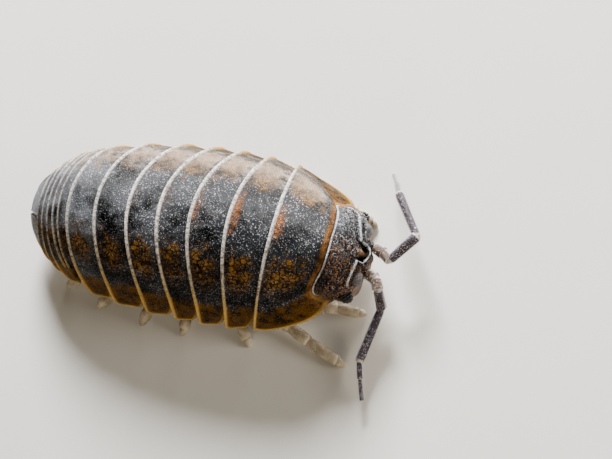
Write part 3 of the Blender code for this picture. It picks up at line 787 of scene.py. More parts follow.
def skull_loops(rows=46, columns=120):
    """The skull: narrow in the neck, tied to the first plate's edge, its face set back below."""
    table = np.array(HEAD_SECTIONS)
    distance = np.linspace(table[0, 0], HEAD_LENGTH, rows)
    top, bottom, share = (np.interp(distance, table[:, 0], table[:, i])[:, None] for i in (1, 2, 3))
    distance = distance[:, None]
    turn = np.linspace(0, 2 * math.pi, columns, endpoint=False)[None, :]
    y = HEAD_HALF_WIDTH * share * signed_power(np.sin(turn), 2 / HEAD_SQUARENESS)
    z = (top + bottom) / 2 + (top - bottom) / 2 * signed_power(np.cos(turn), 2 / HEAD_SQUARENESS)
    edge = plate_edges()[0]
    arch = arch_between(edge, edge, 0.0)
    arch_cosine = np.clip((z - arch.rim_z) / (arch.back_z - arch.rim_z), -1, 1)
    arch_y = arch.half_width * np.sqrt(1 - np.maximum(arch_cosine, 0) ** 2)
    room = arch_y + EDGE_OVERHANG - NECK_NARROWING * smooth_step(distance, *NECK_RANGE)
    tied = smooth_step(distance, *EDGE_TIE_RANGE)
    y = y * (1 - tied) + np.sign(y) * np.minimum(np.abs(y), np.maximum(room, 0)) * tied
    follow = np.clip(1 - distance / HEAD_LENGTH, 0, 1)
    rear = arch_x(arch, z) - edge.back_x
    sunk = np.clip((FACE_RECESS_TOP - z) / FACE_RECESS_HEIGHT, 0, 1)
    front = -FACE_RECESS * sunk - math.tan(HEAD_TURN) * y
    x = HEAD_START_X + distance + follow * rear + (1 - follow) * front
    return np.stack([x, y, z], axis=-1)


def shield_loops(corners=64):
    """The three-cornered plate on the brow: wide on top, bowed forward, with a thin raised rim."""
    turn = np.linspace(0, 2 * math.pi, corners, endpoint=False)
    up = np.cos(turn)
    width = SHIELD_HALF_WIDTH * ((1 + up) / 2) ** SHIELD_WIDTH_POWER
    middle = (SHIELD_TOP + SHIELD_TIP) / 2
    half_height = (SHIELD_TOP - SHIELD_TIP) / 2
    loops = []
    for depth, share in SHIELD_SECTIONS:
        y = share * width * np.sin(turn)
        z = middle + share * half_height * up
        x = BROW_X + depth + SHIELD_SLOPE * (z - SHIELD_TIP) - SHIELD_BOW * y ** 2
        loops.append([turned(*corner) for corner in zip(x, y, z)])
    return np.array(loops)


def remeshed(name, build):
    """One closed skin round all the shapes of a build, as points, normals and faces."""
    mesh = bpy.data.meshes.new(name)
    mesh.from_pydata(np.concatenate(build.points).tolist(), [], build.faces)
    face_outwards(mesh)
    form = add_object(name, mesh)
    skin = form.modifiers.new("skin", "REMESH")
    skin.mode = "VOXEL"
    skin.voxel_size = SKIN_GRAIN
    soften = form.modifiers.new("soften", "SMOOTH")
    soften.factor = 0.5
    soften.iterations = 3
    graph = bpy.context.evaluated_depsgraph_get()
    result = bpy.data.meshes.new_from_object(form.evaluated_get(graph))
    points = np.empty(len(result.vertices) * 3)
    result.vertices.foreach_get("co", points)
    normals = np.empty(len(result.vertices) * 3)
    result.vertex_normals.foreach_get("vector", normals)
    faces = [tuple(polygon.vertices) for polygon in result.polygons]
    bpy.data.objects.remove(form)
    bpy.data.meshes.remove(mesh)
    bpy.data.meshes.remove(result)
    return points.reshape(-1, 3), normals.reshape(-1, 3), faces


def nearest_distance(points, places):
    tree = KDTree(len(places))
    for i, place in enumerate(places):
        tree.insert(place, i)
    tree.balance()
    return np.array([tree.find(point)[2] for point in points])


def margin_line():
    """The raised forehead line: round the shield in the middle, turned back at the corners."""
    y = np.linspace(-MARGIN_HALF_WIDTH, MARGIN_HALF_WIDTH, 301)
    x = MARGIN_X - MARGIN_CURVE * y ** 2
    round_shield = dome(y, 0, SHIELD_RIM_HALF_WIDTH)
    parts = [np.stack([x + SHIELD_RIM_REACH * round_shield, y, 0 * y], axis=-1)]
    turn = np.linspace(0, math.pi / 2, 60)
    corner_x = MARGIN_END_X + (x[0] - MARGIN_END_X) * np.cos(turn)
    corner_y = MARGIN_HALF_WIDTH + MARGIN_CORNER_WIDTH * np.sin(turn)
    for side in (LEFT, RIGHT):
        parts.append(np.stack([corner_x, side * corner_y, 0 * turn], axis=-1))
    return np.concatenate(parts)


def nearest_of_pair(points, place, radii):
    """Distance to the nearer of two egg shapes left and right, 1 on their surface."""
    gaps = [np.linalg.norm((points - np.array(on_side(place, side))) / np.array(radii), axis=1)
            for side in (LEFT, RIGHT)]
    return np.minimum(FAR_AWAY, np.minimum(*gaps))


def head_form():
    """The plain shapes of the head, before they become one skin."""
    build = Build()
    for loops in (skull_loops(), shield_loops(), ellipsoid_loops(turned(*LIP_PLACE), LIP_RADII)):
        add_round(build, loops)
    for side in (LEFT, RIGHT):
        tilt = Matrix.Rotation(-BROW_LOBE_TILT * side, 3, "X")
        lobe_place = turned(*on_side(BROW_LOBE_PLACE, side))
        add_round(build, ellipsoid_loops(lobe_place, BROW_LOBE_RADII, tilt))
        socket_place = turned(*on_side(FEELER_SOCKET_PLACE, side))
        add_round(build, ellipsoid_loops(socket_place, FEELER_SOCKET_RADII))
    return build


def head_skin():
    """The head's points and faces, with the measures its finish is painted by."""
    points, normals, faces = remeshed("head_form", head_form())
    edge = plate_edges()[0]
    arch = arch_between(edge, edge, 0.0)
    rear = points[:, 0] - arch_x(arch, points[:, 2]) - HEAD_REAR_GAP
    local = unturned(points)
    local_x, local_y, local_z = local.T
    eye_gap = nearest_of_pair(local, EYE_PLACE, EYE_RADII)

    flat = local * (1, 1, 0)
    corner = smooth_step(np.abs(local_y), *MARGIN_CORNER_RANGE)
    lowest = MARGIN_LOWEST + (MARGIN_CORNER_LOWEST - MARGIN_LOWEST) * corner
    line_high = smooth_step(local_z, lowest, lowest + MARGIN_FADE)
    margin_gap = nearest_distance(flat, margin_line()) + (1 - line_high) * MARGIN_FADE_GAP
    high = smooth_step(local_z, MARGIN_LOWEST, MARGIN_LOWEST + MARGIN_FADE)
    inside = dome(local_y, 0, SHIELD_RIM_HALF_WIDTH)
    pit_middle = MARGIN_X + 0.5 * SHIELD_RIM_REACH * inside
    pit = bell(local_x, pit_middle, PIT_WIDTH) * smooth_step(inside ** 2, *PIT_RANGE) * high
    bulge_gap = np.linalg.norm(flat - (MARGIN_X + BULGE_AHEAD, 0, 0), axis=1)
    bulge = bell(bulge_gap, 0, BULGE_WIDTH) * high

    generator = np.random.default_rng(HEAD_GRAIN_SEED)
    clear = (rear > GRAIN_REAR_ROOM) & (eye_gap > GRAIN_EYE_ROOM) & (margin_gap > GRAIN_LINE_ROOM)
    upper = np.nonzero((points[:, 2] > HEAD_GRAIN_LOWEST) & clear)[0]
    centres = points[generator.choice(upper, HEAD_GRAINS, replace=False)]
    grain = dome(nearest_distance(points, centres), 0, HEAD_GRAIN_RADIUS) ** 3

    side_share = smooth_step(np.abs(points[:, 1]), *HEAD_GRAIN_SIDE_RANGE)
    lift = grain * (HEAD_GRAIN_RISE + HEAD_GRAIN_SIDE_RISE * side_share)
    bead = dome(rear, HEAD_BEAD_MIDDLE, HEAD_BEAD_REACH) * (points[:, 2] > HEAD_BEAD_LOWEST)
    lift += HEAD_BEAD_RISE * bead
    lift -= HEAD_GROOVE_DEPTH * bell(rear, HEAD_GROOVE_MIDDLE, HEAD_GROOVE_WIDTH)
    lift += HEAD_WAVE_HEIGHT * wobble(points, HEAD_WAVE_WIDTH, HEAD_WAVE_SEED)
    lift += EYE_RIM_RISE * bell(eye_gap, EYE_RIM_PLACE, EYE_RIM_WIDTH)
    lift -= EYE_SINK * smooth_step(eye_gap, *EYE_SINK_RANGE)
    lift += LINE_RISE * bell(margin_gap, 0, LINE_WIDTH)
    lift -= SLIT_DEPTH * bell(margin_gap, SLIT_MIDDLE, SLIT_WIDTH)
    lift += BULGE_RISE * bulge - PIT_DEPTH * pit
    lobe_gap = nearest_of_pair(local, BROW_LOBE_PLACE, BROW_LOBE_RADII)
    measures = (rear, grain, margin_gap, pit, bulge, lobe_gap, local_y, local_z)
    return points + normals * lift[:, None], faces, dict(zip(HEAD_LABELS, measures))


# Materials


class Nodes:
    """Adds nodes to one tree; an input is another node's output or a plain value."""

    def __init__(self, tree):
        self.tree = tree

    def fill(self, node, inputs):
        for label, value in inputs.items():
            if isinstance(value, bpy.types.NodeSocket):
                self.tree.links.new(value, node.inputs[label])
            else:
                node.inputs[label].default_value = value

    def node(self, kind, inputs=None, **settings):
        node = self.tree.nodes.new(kind)
        for label, value in settings.items():
            setattr(node, label, value)
        self.fill(node, inputs or {})
        return node

    def maths(self, operation, first, second=0.0, clamp=False):
        inputs = {0: first, 1: second}
        return self.node("ShaderNodeMath", inputs, operation=operation, use_clamp=clamp).outputs[0]

    def sum(self, first, second):
        return self.maths("ADD", first, second)

    def product(self, first, *others):
        for other in others:
            first = self.maths("MULTIPLY", first, other)
        return first

    def larger(self, first, second):
        return self.maths("MAXIMUM", first, second)

    def clamped(self, value):
        return self.maths("ADD", value, 0.0, clamp=True)

    def swing(self, noise, reach):
        """Noise from 0 to 1 as a push either way."""
        return self.product(self.maths("SUBTRACT", noise, 0.5), reach)

    def ramp(self, value, low, high, start=0.0, end=1.0):
        inputs = {"Value": value, "From Min": low, "From Max": high, "To Min": start, "To Max": end}
        node = self.node("ShaderNodeMapRange", inputs, interpolation_type="SMOOTHSTEP")
        return node.outputs[0]

    def hump(self, value, middle, reach):
        """1 where the value is at the middle, falling smoothly to 0 at the reach on either side."""
        gap = self.maths("ABSOLUTE", self.maths("SUBTRACT", value, middle))
        return self.ramp(gap, 0.0, reach, 1.0, 0.0)

    def blend(self, factor, first, second):
        first, second = [(*tint, 1.0) if isinstance(tint, tuple) else tint for tint in (first, second)]
        inputs = {0: factor, 6: first, 7: second}
        return self.node("ShaderNodeMix", inputs, data_type="RGBA").outputs[2]

    def mottle(self, noise, first, second, low=0.35, high=0.62):
        """Patches of two tints: the first where the noise is low, the second where it is high."""
        return self.blend(self.ramp(noise, low, high), first, second)

    def layers(self, tint, *layers):
        """The tint with each further one laid over it by its mask."""
        for mask, over in layers:
            tint = self.blend(mask, tint, over)
        return tint


def add_socket(tree, name, direction, kind, value=None):
    socket = tree.interface.new_socket(name=name, in_out=direction, socket_type="NodeSocket" + kind)
    if value is not None:
        socket.default_value = value
    return socket.identifier


def build_granules_group():
    """Fine grains of the shell: a mask of the pale tips, and a height for the bump."""
    group = bpy.data.node_groups.new("Granules", "ShaderNodeTree")
    add_socket(group, "Place", "INPUT", "Vector")
    add_socket(group, "Grains Per Millimetre", "INPUT", "Float", 8.0)
    add_socket(group, "Share Of Pale Tips", "INPUT", "Float", 0.5)
    add_socket(group, "Tip Size", "INPUT", "Float", 0.3)
    add_socket(group, "Tips", "OUTPUT", "Float")
    add_socket(group, "Height", "OUTPUT", "Float")
    nodes = Nodes(group)
    given = nodes.node("NodeGroupInput").outputs
    raggedness = (0.07, 0.07, 0.07)
    noise = nodes.node("ShaderNodeTexNoise", {"Vector": given["Place"], "Scale": 14.0, "Detail": 2.0})
    push = nodes.node("ShaderNodeVectorMath", {0: noise.outputs["Color"], 1: raggedness},
                      operation="MULTIPLY").outputs[0]
    place = nodes.node("ShaderNodeVectorMath", {0: given["Place"], 1: push}, operation="ADD").outputs[0]
    cells = nodes.node("ShaderNodeTexVoronoi", {
        "Vector": place, "Scale": given["Grains Per Millimetre"], "Randomness": 1.0},
        feature="F1").outputs
    chance = nodes.node("ShaderNodeSeparateColor", {0: cells["Color"]}).outputs
    chosen = nodes.maths("LESS_THAN", chance[0], given["Share Of Pale Tips"])
    strength = nodes.ramp(chance[1], 0.1, 1.0, 0.08, 1.0)
    size = nodes.product(given["Tip Size"], nodes.ramp(chance[2], 0.0, 1.0, 0.7, 1.3))
    dot = nodes.ramp(cells["Distance"], nodes.product(size, 0.4), size, 1.0, 0.0)
    nodes.node("NodeGroupOutput", {
        "Tips": nodes.product(dot, chosen, strength),
        "Height": nodes.ramp(cells["Distance"], 0.0, 0.6, 1.0, 0.0)})
    return group


GRANULES = build_granules_group()


class Paint(Nodes):
    """Nodes of one material, with noise and grains measured in millimetres."""

    def __init__(self, name):
        self.material = bpy.data.materials.new(name)
        self.material.use_nodes = True
        super().__init__(self.material.node_tree)
        self.shader = self.tree.nodes["Principled BSDF"]
        inputs = {"Vector": self.node("ShaderNodeTexCoord").outputs["Object"], "Scale": (1 / MM,) * 3}
        self.place = self.node("ShaderNodeMapping", inputs).outputs[0]

    def attributes(self, labels):
        return [self.node("ShaderNodeAttribute", attribute_name=label).outputs["Fac"] for label in labels]

    def cloud(self, scale, detail, roughness=0.55):
        inputs = {"Vector": self.place, "Scale": scale, "Detail": detail, "Roughness": roughness}
        return self.node("ShaderNodeTexNoise", inputs).outputs["Fac"]

    def seam_distance(self, scale, place):
        """How far each point is from the seams of a honeycomb."""
        node = self.node("ShaderNodeTexVoronoi", {"Vector": place, "Scale": scale},
                         feature="DISTANCE_TO_EDGE")
        return node.outputs["Distance"]

    def granules(self, per_millimetre, pale_share, tip_size):
        node = self.node("ShaderNodeGroup", {
            "Place": self.place, "Grains Per Millimetre": per_millimetre,
            "Share Of Pale Tips": pale_share, "Tip Size": tip_size}, node_tree=GRANULES)
        return node.outputs["Tips"], node.outputs["Height"]

    def speckles(self, per_millimetre, pale_share):
        """Dense fine grains with a few larger, brighter ones: mask of the tips, and height."""
        small, height = self.granules(per_millimetre, pale_share, 0.46)
        large, _ = self.granules(per_millimetre * 0.45, 0.12, 0.2)
        return self.larger(self.product(small, 0.85), large), height

    def finish(self, tint, roughness, relief, strength, depth, more):
        """Wire the finish up; the depth of its relief is in millimetres."""
        inputs = {"Height": relief, "Strength": strength, "Distance": depth * MM}
        normal = self.node("ShaderNodeBump", inputs).outputs[0]
        self.fill(self.shader, {"Base Color": tint, "Roughness": roughness, "Normal": normal, **more})
        return self.material

    def grained_finish(self, tint, roughness, grains, fine, fine_share=0.7, strength=0.8, depth=0.03,
                       dark_gloss=0.02):
        """The same over grains, of which only the tips shine."""
        relief = self.sum(grains, self.product(fine, fine_share))
        gloss = self.ramp(grains, 0.3, 0.8, dark_gloss, 0.45)
        return self.finish(tint, roughness, relief, strength, depth, {"Specular IOR Level": gloss})


def make_shell_material(name, bead_width=BEAD_WIDTH, front_strip=0.0):
    """Slate-black plates with pale grains, paired brown patches, amber lobes and cream rims, with painted
    sheen and painted shade.
    """
    paint = Paint(name)
    ramp, hump, blend, mottle, product = paint.ramp, paint.hump, paint.blend, paint.mottle, paint.product
    ahead, angle, edge, under, share, orange, painted_sheen = paint.attributes(SHELL_LABELS)
    off_middle = paint.maths("ABSOLUTE", angle)
    # A grey-blue painted sheen on the far and rear plates, weaker on the near side as painted shade and
    # low on the far flank.
    painted_sheen = product(painted_sheen, ramp(angle, 46, 64, 1, 0.1), ramp(angle, -15, -45, 1, 0.35))
    broad, middling, fine = paint.cloud(0.8, 4), paint.cloud(2.4, 5, 0.62), paint.cloud(9, 4, 0.6)
    uneven = paint.swing(middling, 40)
    ragged_angle = paint.sum(off_middle, uneven)
    ragged_angle_signed = paint.sum(angle, uneven)

    slate = blend(painted_sheen, (0.026, 0.029, 0.036), (0.15, 0.155, 0.17))
    base = mottle(broad, (0.0008, 0.0008, 0.001), slate, high=0.7)
    # A painted sheen along the back, and a pale tan of painted light over the far flank.
    back_light = product(hump(ragged_angle_signed, 8, 22), 0.7)
    back_tint = blend(middling, (0.004, 0.004, 0.005), (0.12, 0.122, 0.128))
    lit_far_flank = product(ramp(angle, 18, 48), ramp(ragged_angle_signed, 56, 70, 1, 0.1))
    far_light_tint = mottle(middling, (0.02, 0.015, 0.012), (0.42, 0.34, 0.28))

    # The paired patches: brown islands between the dark seams of a honeycomb.
    seam_gap = paint.sum(paint.seam_distance(4.6, paint.place), paint.swing(fine, 0.25))
    honeycomb = ramp(seam_gap, 0.03, 0.15)
    tan = mottle(middling, (0.018, 0.006, 0.0), (0.2, 0.092, 0.012), low=0.38)
    patch_tint = blend(honeycomb, (0.002, 0.001, 0.0005), tan)
    # On the far flank the patches turn pale tan: painted light.
    lit_far_patch_tint = blend(middling, (0.09, 0.06, 0.04), (0.42, 0.31, 0.22))
    patch_tint = blend(product(lit_far_flank, 0.85), patch_tint, lit_far_patch_tint)
    patch = product(hump(ragged_angle, PATCH_ANGLE, 19), hump(share, 0.56, 0.5))
    patch = product(patch, ramp(broad, 0.3, 0.6, 0.8, 2.2), ramp(painted_sheen, 0.1, 0.9, 1, 0.25))
    patch = paint.clamped(patch)

    # A dark arc behind the front strip, warm spots on the back, and a dark band above the lobes.
    dark_arc = product(hump(share, 0.17, 0.13), lit_far_flank, 0.85 * front_strip)
    arc_tint = blend(middling, (0.003, 0.003, 0.003), (0.06, 0.058, 0.055))
    warm = product(hump(paint.sum(angle, product(uneven, 0.8)), 2, 17), hump(ahead, 0.22, 0.45))
    warm = paint.clamped(product(warm, ramp(fine, 0.42, 0.6), orange, 1.9))
    above_lobes = hump(ragged_angle, 57, 9)

    # Amber on the side lobes and, on the first plate, on the strip along its front.
    lobe_edge = paint.sum(off_middle, product(uneven, 0.35))
    side_lobe = ramp(lobe_edge, LOBE_START_ANGLE - 3, LOBE_START_ANGLE + 4)
    strip_reach = ramp(off_middle, 0, 45, FRONT_STRIP_MIDDLE, FRONT_STRIP_SIDE)
    strip = ramp(paint.maths("SUBTRACT", share, strip_reach), -0.015, 0.03, front_strip, 0)
    strip = product(strip, ramp(fine, 0.25, 0.5, 0.55, 1))
    lobe = paint.larger(side_lobe, strip)
    amber = paint.layers(
        mottle(middling, (0.004, 0.002, 0.0), (0.08, 0.033, 0.0)),
        (product(ramp(edge, 0.1, 0.4, 1, 0), 0.6), (0.14, 0.062, 0.0)),
        (strip, mottle(middling, (0.04, 0.014, 0.002), (0.17, 0.075, 0.02), high=0.65)))

    # Where the pale grains fade: a measure, its range, and their strength at both ends.
    fades = (
        (lobe, 0, 1, 1, 0.1),
        (patch, 0, 0.8, 1, 0.45),
        (above_lobes, 0, 1, 1, 0.4),
        (painted_sheen, 0.2, 1, 1, 0.6),
        (broad, 0.38, 0.62, 0.28, 1),
        # The pale grains dim on the near side: painted shade.
        (angle, 5, -30, 1, 0.62),
        (angle, 52, 66, 1, 0.5),
    )
    # The pale tips stand for real pale grains and for painted glints on them.
    tips, height = paint.speckles(15, ramp(middling, 0.3, 0.7, 0.55, 1))
    tips = product(tips, *[ramp(*fade) for fade in fades])

    # Rims: cream along the rear, darker on the near side as painted shade, ochre round the lobes.
    ragged_ahead = paint.sum(ahead, paint.swing(fine, 0.06))
    back_rim = product(ramp(ragged_ahead, bead_width * 0.85, bead_width * 1.3, 1, 0),
                       ramp(off_middle, 40, 72, 1, 0.7))
    side_rim = product(ramp(edge, bead_width * 0.7, bead_width * 1.2, 1, 0),
                       ramp(share, 0.08, 0.3, 0.3, 1), side_lobe)
    rim = product(paint.larger(back_rim, side_rim), ramp(painted_sheen, 0.3, 1, 0.92, 0.45))
    bright = mottle(fine, (0.2, 0.185, 0.17), (0.95, 0.9, 0.84))
    shaded_cream = mottle(fine, (0.07, 0.055, 0.04), (0.5, 0.42, 0.32))
    ochre = blend(fine, (0.22, 0.12, 0.012), (0.75, 0.5, 0.17))
    cream = blend(ramp(angle, -12, -48), bright, shaded_cream)
    rim_tint = blend(paint.larger(lobe, ramp(off_middle, 42, 66)), cream, ochre)

    seam = paint.larger(hump(share, 0, 0.16), hump(share, 1, 0.12))
    belly = blend(middling, (0.16, 0.12, 0.085), (0.38, 0.33, 0.26))
    belly = blend(product(seam, 0.8), belly, (0.06, 0.04, 0.025))
    tint = paint.layers(
        base,
        (back_light, back_tint),
        (product(lit_far_flank, 0.72), far_light_tint),
        (patch, patch_tint),
        (dark_arc, arc_tint),
        (warm, (0.27, 0.085, 0.012)),
        (product(above_lobes, 0.85), (0.0015, 0.0012, 0.001)),
        (lobe, amber),
        (tips, (0.72, 0.73, 0.76)),
        (rim, rim_tint),
        (under, belly))
    roughness = paint.sum(product(fine, 0.3), 0.2)
    return paint.grained_finish(tint, roughness, height, fine)


def make_horn_material(name, dark, pale, scale, roughness):
    """Pale horn for legs, gills and mouthparts: clouded, finely grained."""
    paint = Paint(name)
    tips, height = paint.granules(11, 0.3, 0.35)
    tint = paint.mottle(paint.cloud(scale, 4), dark, pale, 0.3, 0.7)
    tint = paint.blend(paint.product(tips, 0.35), tint, (0.85, 0.82, 0.76))
    relief = paint.sum(height, paint.cloud(14, 3))
    glow = {"Subsurface Weight": 0.15, "Subsurface Radius": (0.0006, 0.0004, 0.0002)}
    return paint.finish(tint, roughness, relief, strength=0.5, depth=0.015, more=glow)


def make_head_material():
    """Dark, closely grained head: grey far side of painted light, brown middle, honeycombed near side
    dimmed by painted shade, pale rims, painted shade in the pit, slit and under the first plate.
    """
    paint = Paint("head_finish")
    ramp, hump, product = paint.ramp, paint.hump, paint.product
    rear, grain, margin, pit, bulge, brow_lobe, side, height = paint.attributes(HEAD_LABELS)
    broad, middling, fine = paint.cloud(1.6, 4), paint.cloud(4, 4, 0.6), paint.cloud(12, 4, 0.6)

    black = (0.001, 0.001, 0.0015)
    grey = paint.mottle(fine, (0.006, 0.006, 0.008), (0.09, 0.093, 0.1), 0.3, 0.7)
    brown_middle = product(hump(side, -0.1, 1), ramp(middling, 0.42, 0.58), 0.75)
    stretch = {"Vector": paint.place, "Scale": (1.0, 0.6, 1.0)}
    seam_gap = paint.seam_distance(6.5, paint.node("ShaderNodeMapping", stretch).outputs[0])
    seams = product(ramp(seam_gap, 0.02, 0.1, 1, 0), ramp(fine, 0.42, 0.56))
    both_sides = paint.sum(ramp(side, -0.35, -0.9), ramp(side, 0.9, 1.5, 0, 0.2))
    seams = product(seams, both_sides, ramp(broad, 0.34, 0.56, 0.12, 1))
    tips, relief = paint.speckles(13, 0.85)
    lobe_tint = paint.blend(fine, (0.05, 0.05, 0.06), (0.3, 0.305, 0.33))
    rim = product(paint.clamped(product(hump(rear, 0.045, 0.06), 1.3)), ramp(height, 2, 2.3))
    # The forehead line dims on the near side: painted shade.
    line = product(ramp(margin, 0.012, 0.045, 1, 0), ramp(side, -1.8, -1.3, 0.25, 1))
    rim_tint = paint.mottle(fine, (0.12, 0.125, 0.14), (0.6, 0.62, 0.66), 0.3, 0.65)
    tint = paint.layers(
        paint.mottle(broad, black, (0.014, 0.015, 0.02), high=0.65),
        # A grey of painted light on the far side.
        (ramp(side, 0.1, 1.1), grey),
        (brown_middle, (0.075, 0.034, 0.014)),
        (seams, (0.3, 0.11, 0.012)),
        # Grains and pale tips dim towards the near side: painted shade. The pale tips stand for real pale
        # grains and for painted glints on them.
        (product(grain, ramp(side, -1, 0.4, 0.05, 0.25)), (0.3, 0.31, 0.34)),
        (product(tips, ramp(side, -0.8, 0.9, 0.3, 0.95)), (0.7, 0.72, 0.76)),
        (ramp(side, 1.9, 1.98, 0, 0.8), (0.2, 0.1, 0.04)),
        (ramp(height, 2.35, 2), (0.16, 0.11, 0.075)),
        (ramp(brow_lobe, 1, 1.25, 0.45, 0), lobe_tint),
        # Painted shade in the slit behind the forehead line and in the pit.
        (product(hump(margin, 0.11, 0.07), 0.8), black),
        (paint.clamped(product(pit, 1.6)), black),
        (product(bulge, 0.8), (0.3, 0.17, 0.09)),
        (paint.larger(rim, line), rim_tint),
        # Painted shade where the head runs under the first plate.
        (ramp(rear, 0, -0.04), (0.015, 0.006, 0.003)))
    return paint.grained_finish(tint, 0.42, relief, fine)


def make_feeler_material():
    """Violet-brown articles, dark and finely grained, pale at the joints, with a painted sheen along
    their sides.
    """
    paint = Paint("feeler_finish")
    ramp, product = paint.ramp, paint.product
    along, article = paint.attributes(LIMB_LABELS)
    middling, fine = paint.cloud(3.5, 4), paint.cloud(12, 4)
    grey = paint.blend(middling, (0.012, 0.009, 0.012), (0.075, 0.062, 0.08))
    brown = paint.blend(middling, (0.025, 0.014, 0.01), (0.2, 0.14, 0.11))
    band = product(paint.hump(along, 0.45, 0.4), paint.hump(article, 2, 1), 0.7)
    tips, relief = paint.speckles(14, 0.85)
    facing = paint.node("ShaderNodeLayerWeight", {"Blend": 0.5}).outputs["Facing"]
    pale_end = paint.larger(ramp(along, 0.945, 0.985), ramp(along, 0.04, 0))
    tint = paint.layers(
        paint.blend(ramp(article, 1.2, 1.8), brown, grey),
        (band, (0.02, 0.012, 0.014)),
        (product(tips, 0.7), (0.62, 0.6, 0.63)),
        # A painted sheen where the articles turn away from the view.
        (ramp(facing, 0.35, 0.75, 0, 0.8), (0.55, 0.5, 0.53)),
        (product(pale_end, ramp(fine, 0.3, 0.6, 0.4, 0.85)), (0.6, 0.55, 0.52)))
    return paint.grained_finish(tint, 0.45, relief, fine, fine_share=0.6, strength=0.6, depth=0.02,
                                dark_gloss=0.05)


def make_eye_material():
    paint = Paint("eye_finish")
    tint = paint.blend(paint.cloud(6, 3), (0.0008, 0.0008, 0.001), (0.006, 0.003, 0.002))
    gloss = {"Specular IOR Level": 0.4}
    return paint.finish(tint, 0.12, paint.cloud(20, 2), strength=0.1, depth=0.01, more=gloss)


# Repeated parts, made by Geometry Nodes


def geometry_tree(name, inputs):
    """A tree with one geometry input and output, and the named inputs; returns socket ids too."""
    tree = bpy.data.node_groups.new(name, "GeometryNodeTree")
    add_socket(tree, "Geometry", "INPUT", "Geometry")
    sockets = {label: add_socket(tree, label, "INPUT", kind) for label, kind in inputs.items()}
    add_socket(tree, "Geometry", "OUTPUT", "Geometry")
    nodes = Nodes(tree)
    return nodes, nodes.node("NodeGroupInput").outputs, sockets


def joined(nodes, grown, surface):
    node = nodes.node("GeometryNodeJoinGeometry")
    nodes.tree.links.new(grown, node.inputs[0])
    nodes.tree.links.new(surface, node.inputs[0])
    return node.outputs[0]


def build_bristles_tree():
    """Short bristles scattered on a surface, leaning off its normal."""
    nodes, given, sockets = geometry_tree("Bristles", {
        "Bristles Per Square Metre": "Float", "Bristle Length": "Float", "Bristle Radius": "Float",
        "Seed": "Int", "Bristle Finish": "Material"})
    scatter = nodes.node("GeometryNodeDistributePointsOnFaces", {
        "Mesh": given["Geometry"], "Density": given["Bristles Per Square Metre"],
        "Seed": given["Seed"]}).outputs
    cone = nodes.node("GeometryNodeMeshCone", {
        "Vertices": 5, "Side Segments": 2, "Radius Top": 0.0,
        "Radius Bottom": given["Bristle Radius"], "Depth": given["Bristle Length"]})
    lean = nodes.node("FunctionNodeRandomValue", {
        0: (-0.5, -0.5, -math.pi), 1: (0.5, 0.5, math.pi), "Seed": given["Seed"]},
        data_type="FLOAT_VECTOR")
    turn = nodes.node("FunctionNodeRotateRotation", {
        "Rotation": scatter["Rotation"], "Rotate By": lean.outputs[0]}, rotation_space="LOCAL")
    size = nodes.node("FunctionNodeRandomValue", {2: 0.5, 3: 1.0, "Seed": given["Seed"]},
                      data_type="FLOAT")
    placed = nodes.node("GeometryNodeInstanceOnPoints", {
        "Points": scatter["Points"], "Instance": cone.outputs["Mesh"],
        "Rotation": turn.outputs[0], "Scale": size.outputs[1]})
    real = nodes.node("GeometryNodeRealizeInstances", {"Geometry": placed.outputs[0]})
    finished = nodes.node("GeometryNodeSetMaterial", {
        "Geometry": real.outputs[0], "Material": given["Bristle Finish"]})
    nodes.node("NodeGroupOutput", {0: joined(nodes, finished.outputs[0], given["Geometry"])})
    return nodes.tree, sockets


def build_facets_tree():
    """Small lenses on every corner of an eye's form."""
    nodes, given, sockets = geometry_tree("Eye facets", {
        "Facet Radius": "Float", "Facet Finish": "Material"})
    lens = nodes.node("GeometryNodeMeshUVSphere", {
        "Segments": 14, "Rings": 9, "Radius": given["Facet Radius"]})
    smooth = nodes.node("GeometryNodeSetShadeSmooth", {"Geometry": lens.outputs["Mesh"]})
    placed = nodes.node("GeometryNodeInstanceOnPoints", {
        "Points": given["Geometry"], "Instance": smooth.outputs[0]})
    real = nodes.node("GeometryNodeRealizeInstances", {"Geometry": placed.outputs[0]})
    finished = nodes.node("GeometryNodeSetMaterial", {
        "Geometry": joined(nodes, real.outputs[0], given["Geometry"]),
        "Material": given["Facet Finish"]})
    nodes.node("NodeGroupOutput", {0: finished.outputs[0]})
    return nodes.tree, sockets


def apply_tree(piece, tree_and_sockets, values):
    """Run a tree on a piece and keep the result as its plain mesh."""
    tree, sockets = tree_and_sockets
    change = piece.modifiers.new("grown", "NODES")
    change.node_group = tree
    for label, value in values.items():
        change[sockets[label]] = value
    graph = bpy.context.evaluated_depsgraph_get()
    mesh = bpy.data.meshes.new_from_object(piece.evaluated_get(graph))
    piece.modifiers.remove(change)
    old_mesh = piece.data
    piece.data = mesh
    bpy.data.meshes.remove(old_mesh)


def add_bristles(piece, finish, per_square_millimetre, length, radius, seed):
    apply_tree(piece, BRISTLES, {
        "Bristles Per Square Metre": per_square_millimetre / MM ** 2, "Bristle Length": length * MM,
        "Bristle Radius": radius * MM, "Seed": seed, "Bristle Finish": finish})


BRISTLES = build_bristles_tree()
FACETS = build_facets_tree()


# Stage: floor, lights and camera


def make_floor():
    mesh = bpy.data.meshes.new("floor")
    reach = 1.5
    drop = -0.00001
    corners = [(-reach, -reach, drop), (reach, -reach, drop), (reach, reach, drop), (-reach, reach, drop)]
    mesh.from_pydata(corners, [], [(0, 1, 2, 3)])
    paint = Paint("floor_paper")
    tint = paint.blend(paint.cloud(0.4, 3), (0.66, 0.64, 0.6), (0.7, 0.68, 0.64))
    paint.fill(paint.shader, {"Base Color": tint, "Roughness": 0.9})
    mesh.materials.append(paint.material)
    add_object("floor", mesh)


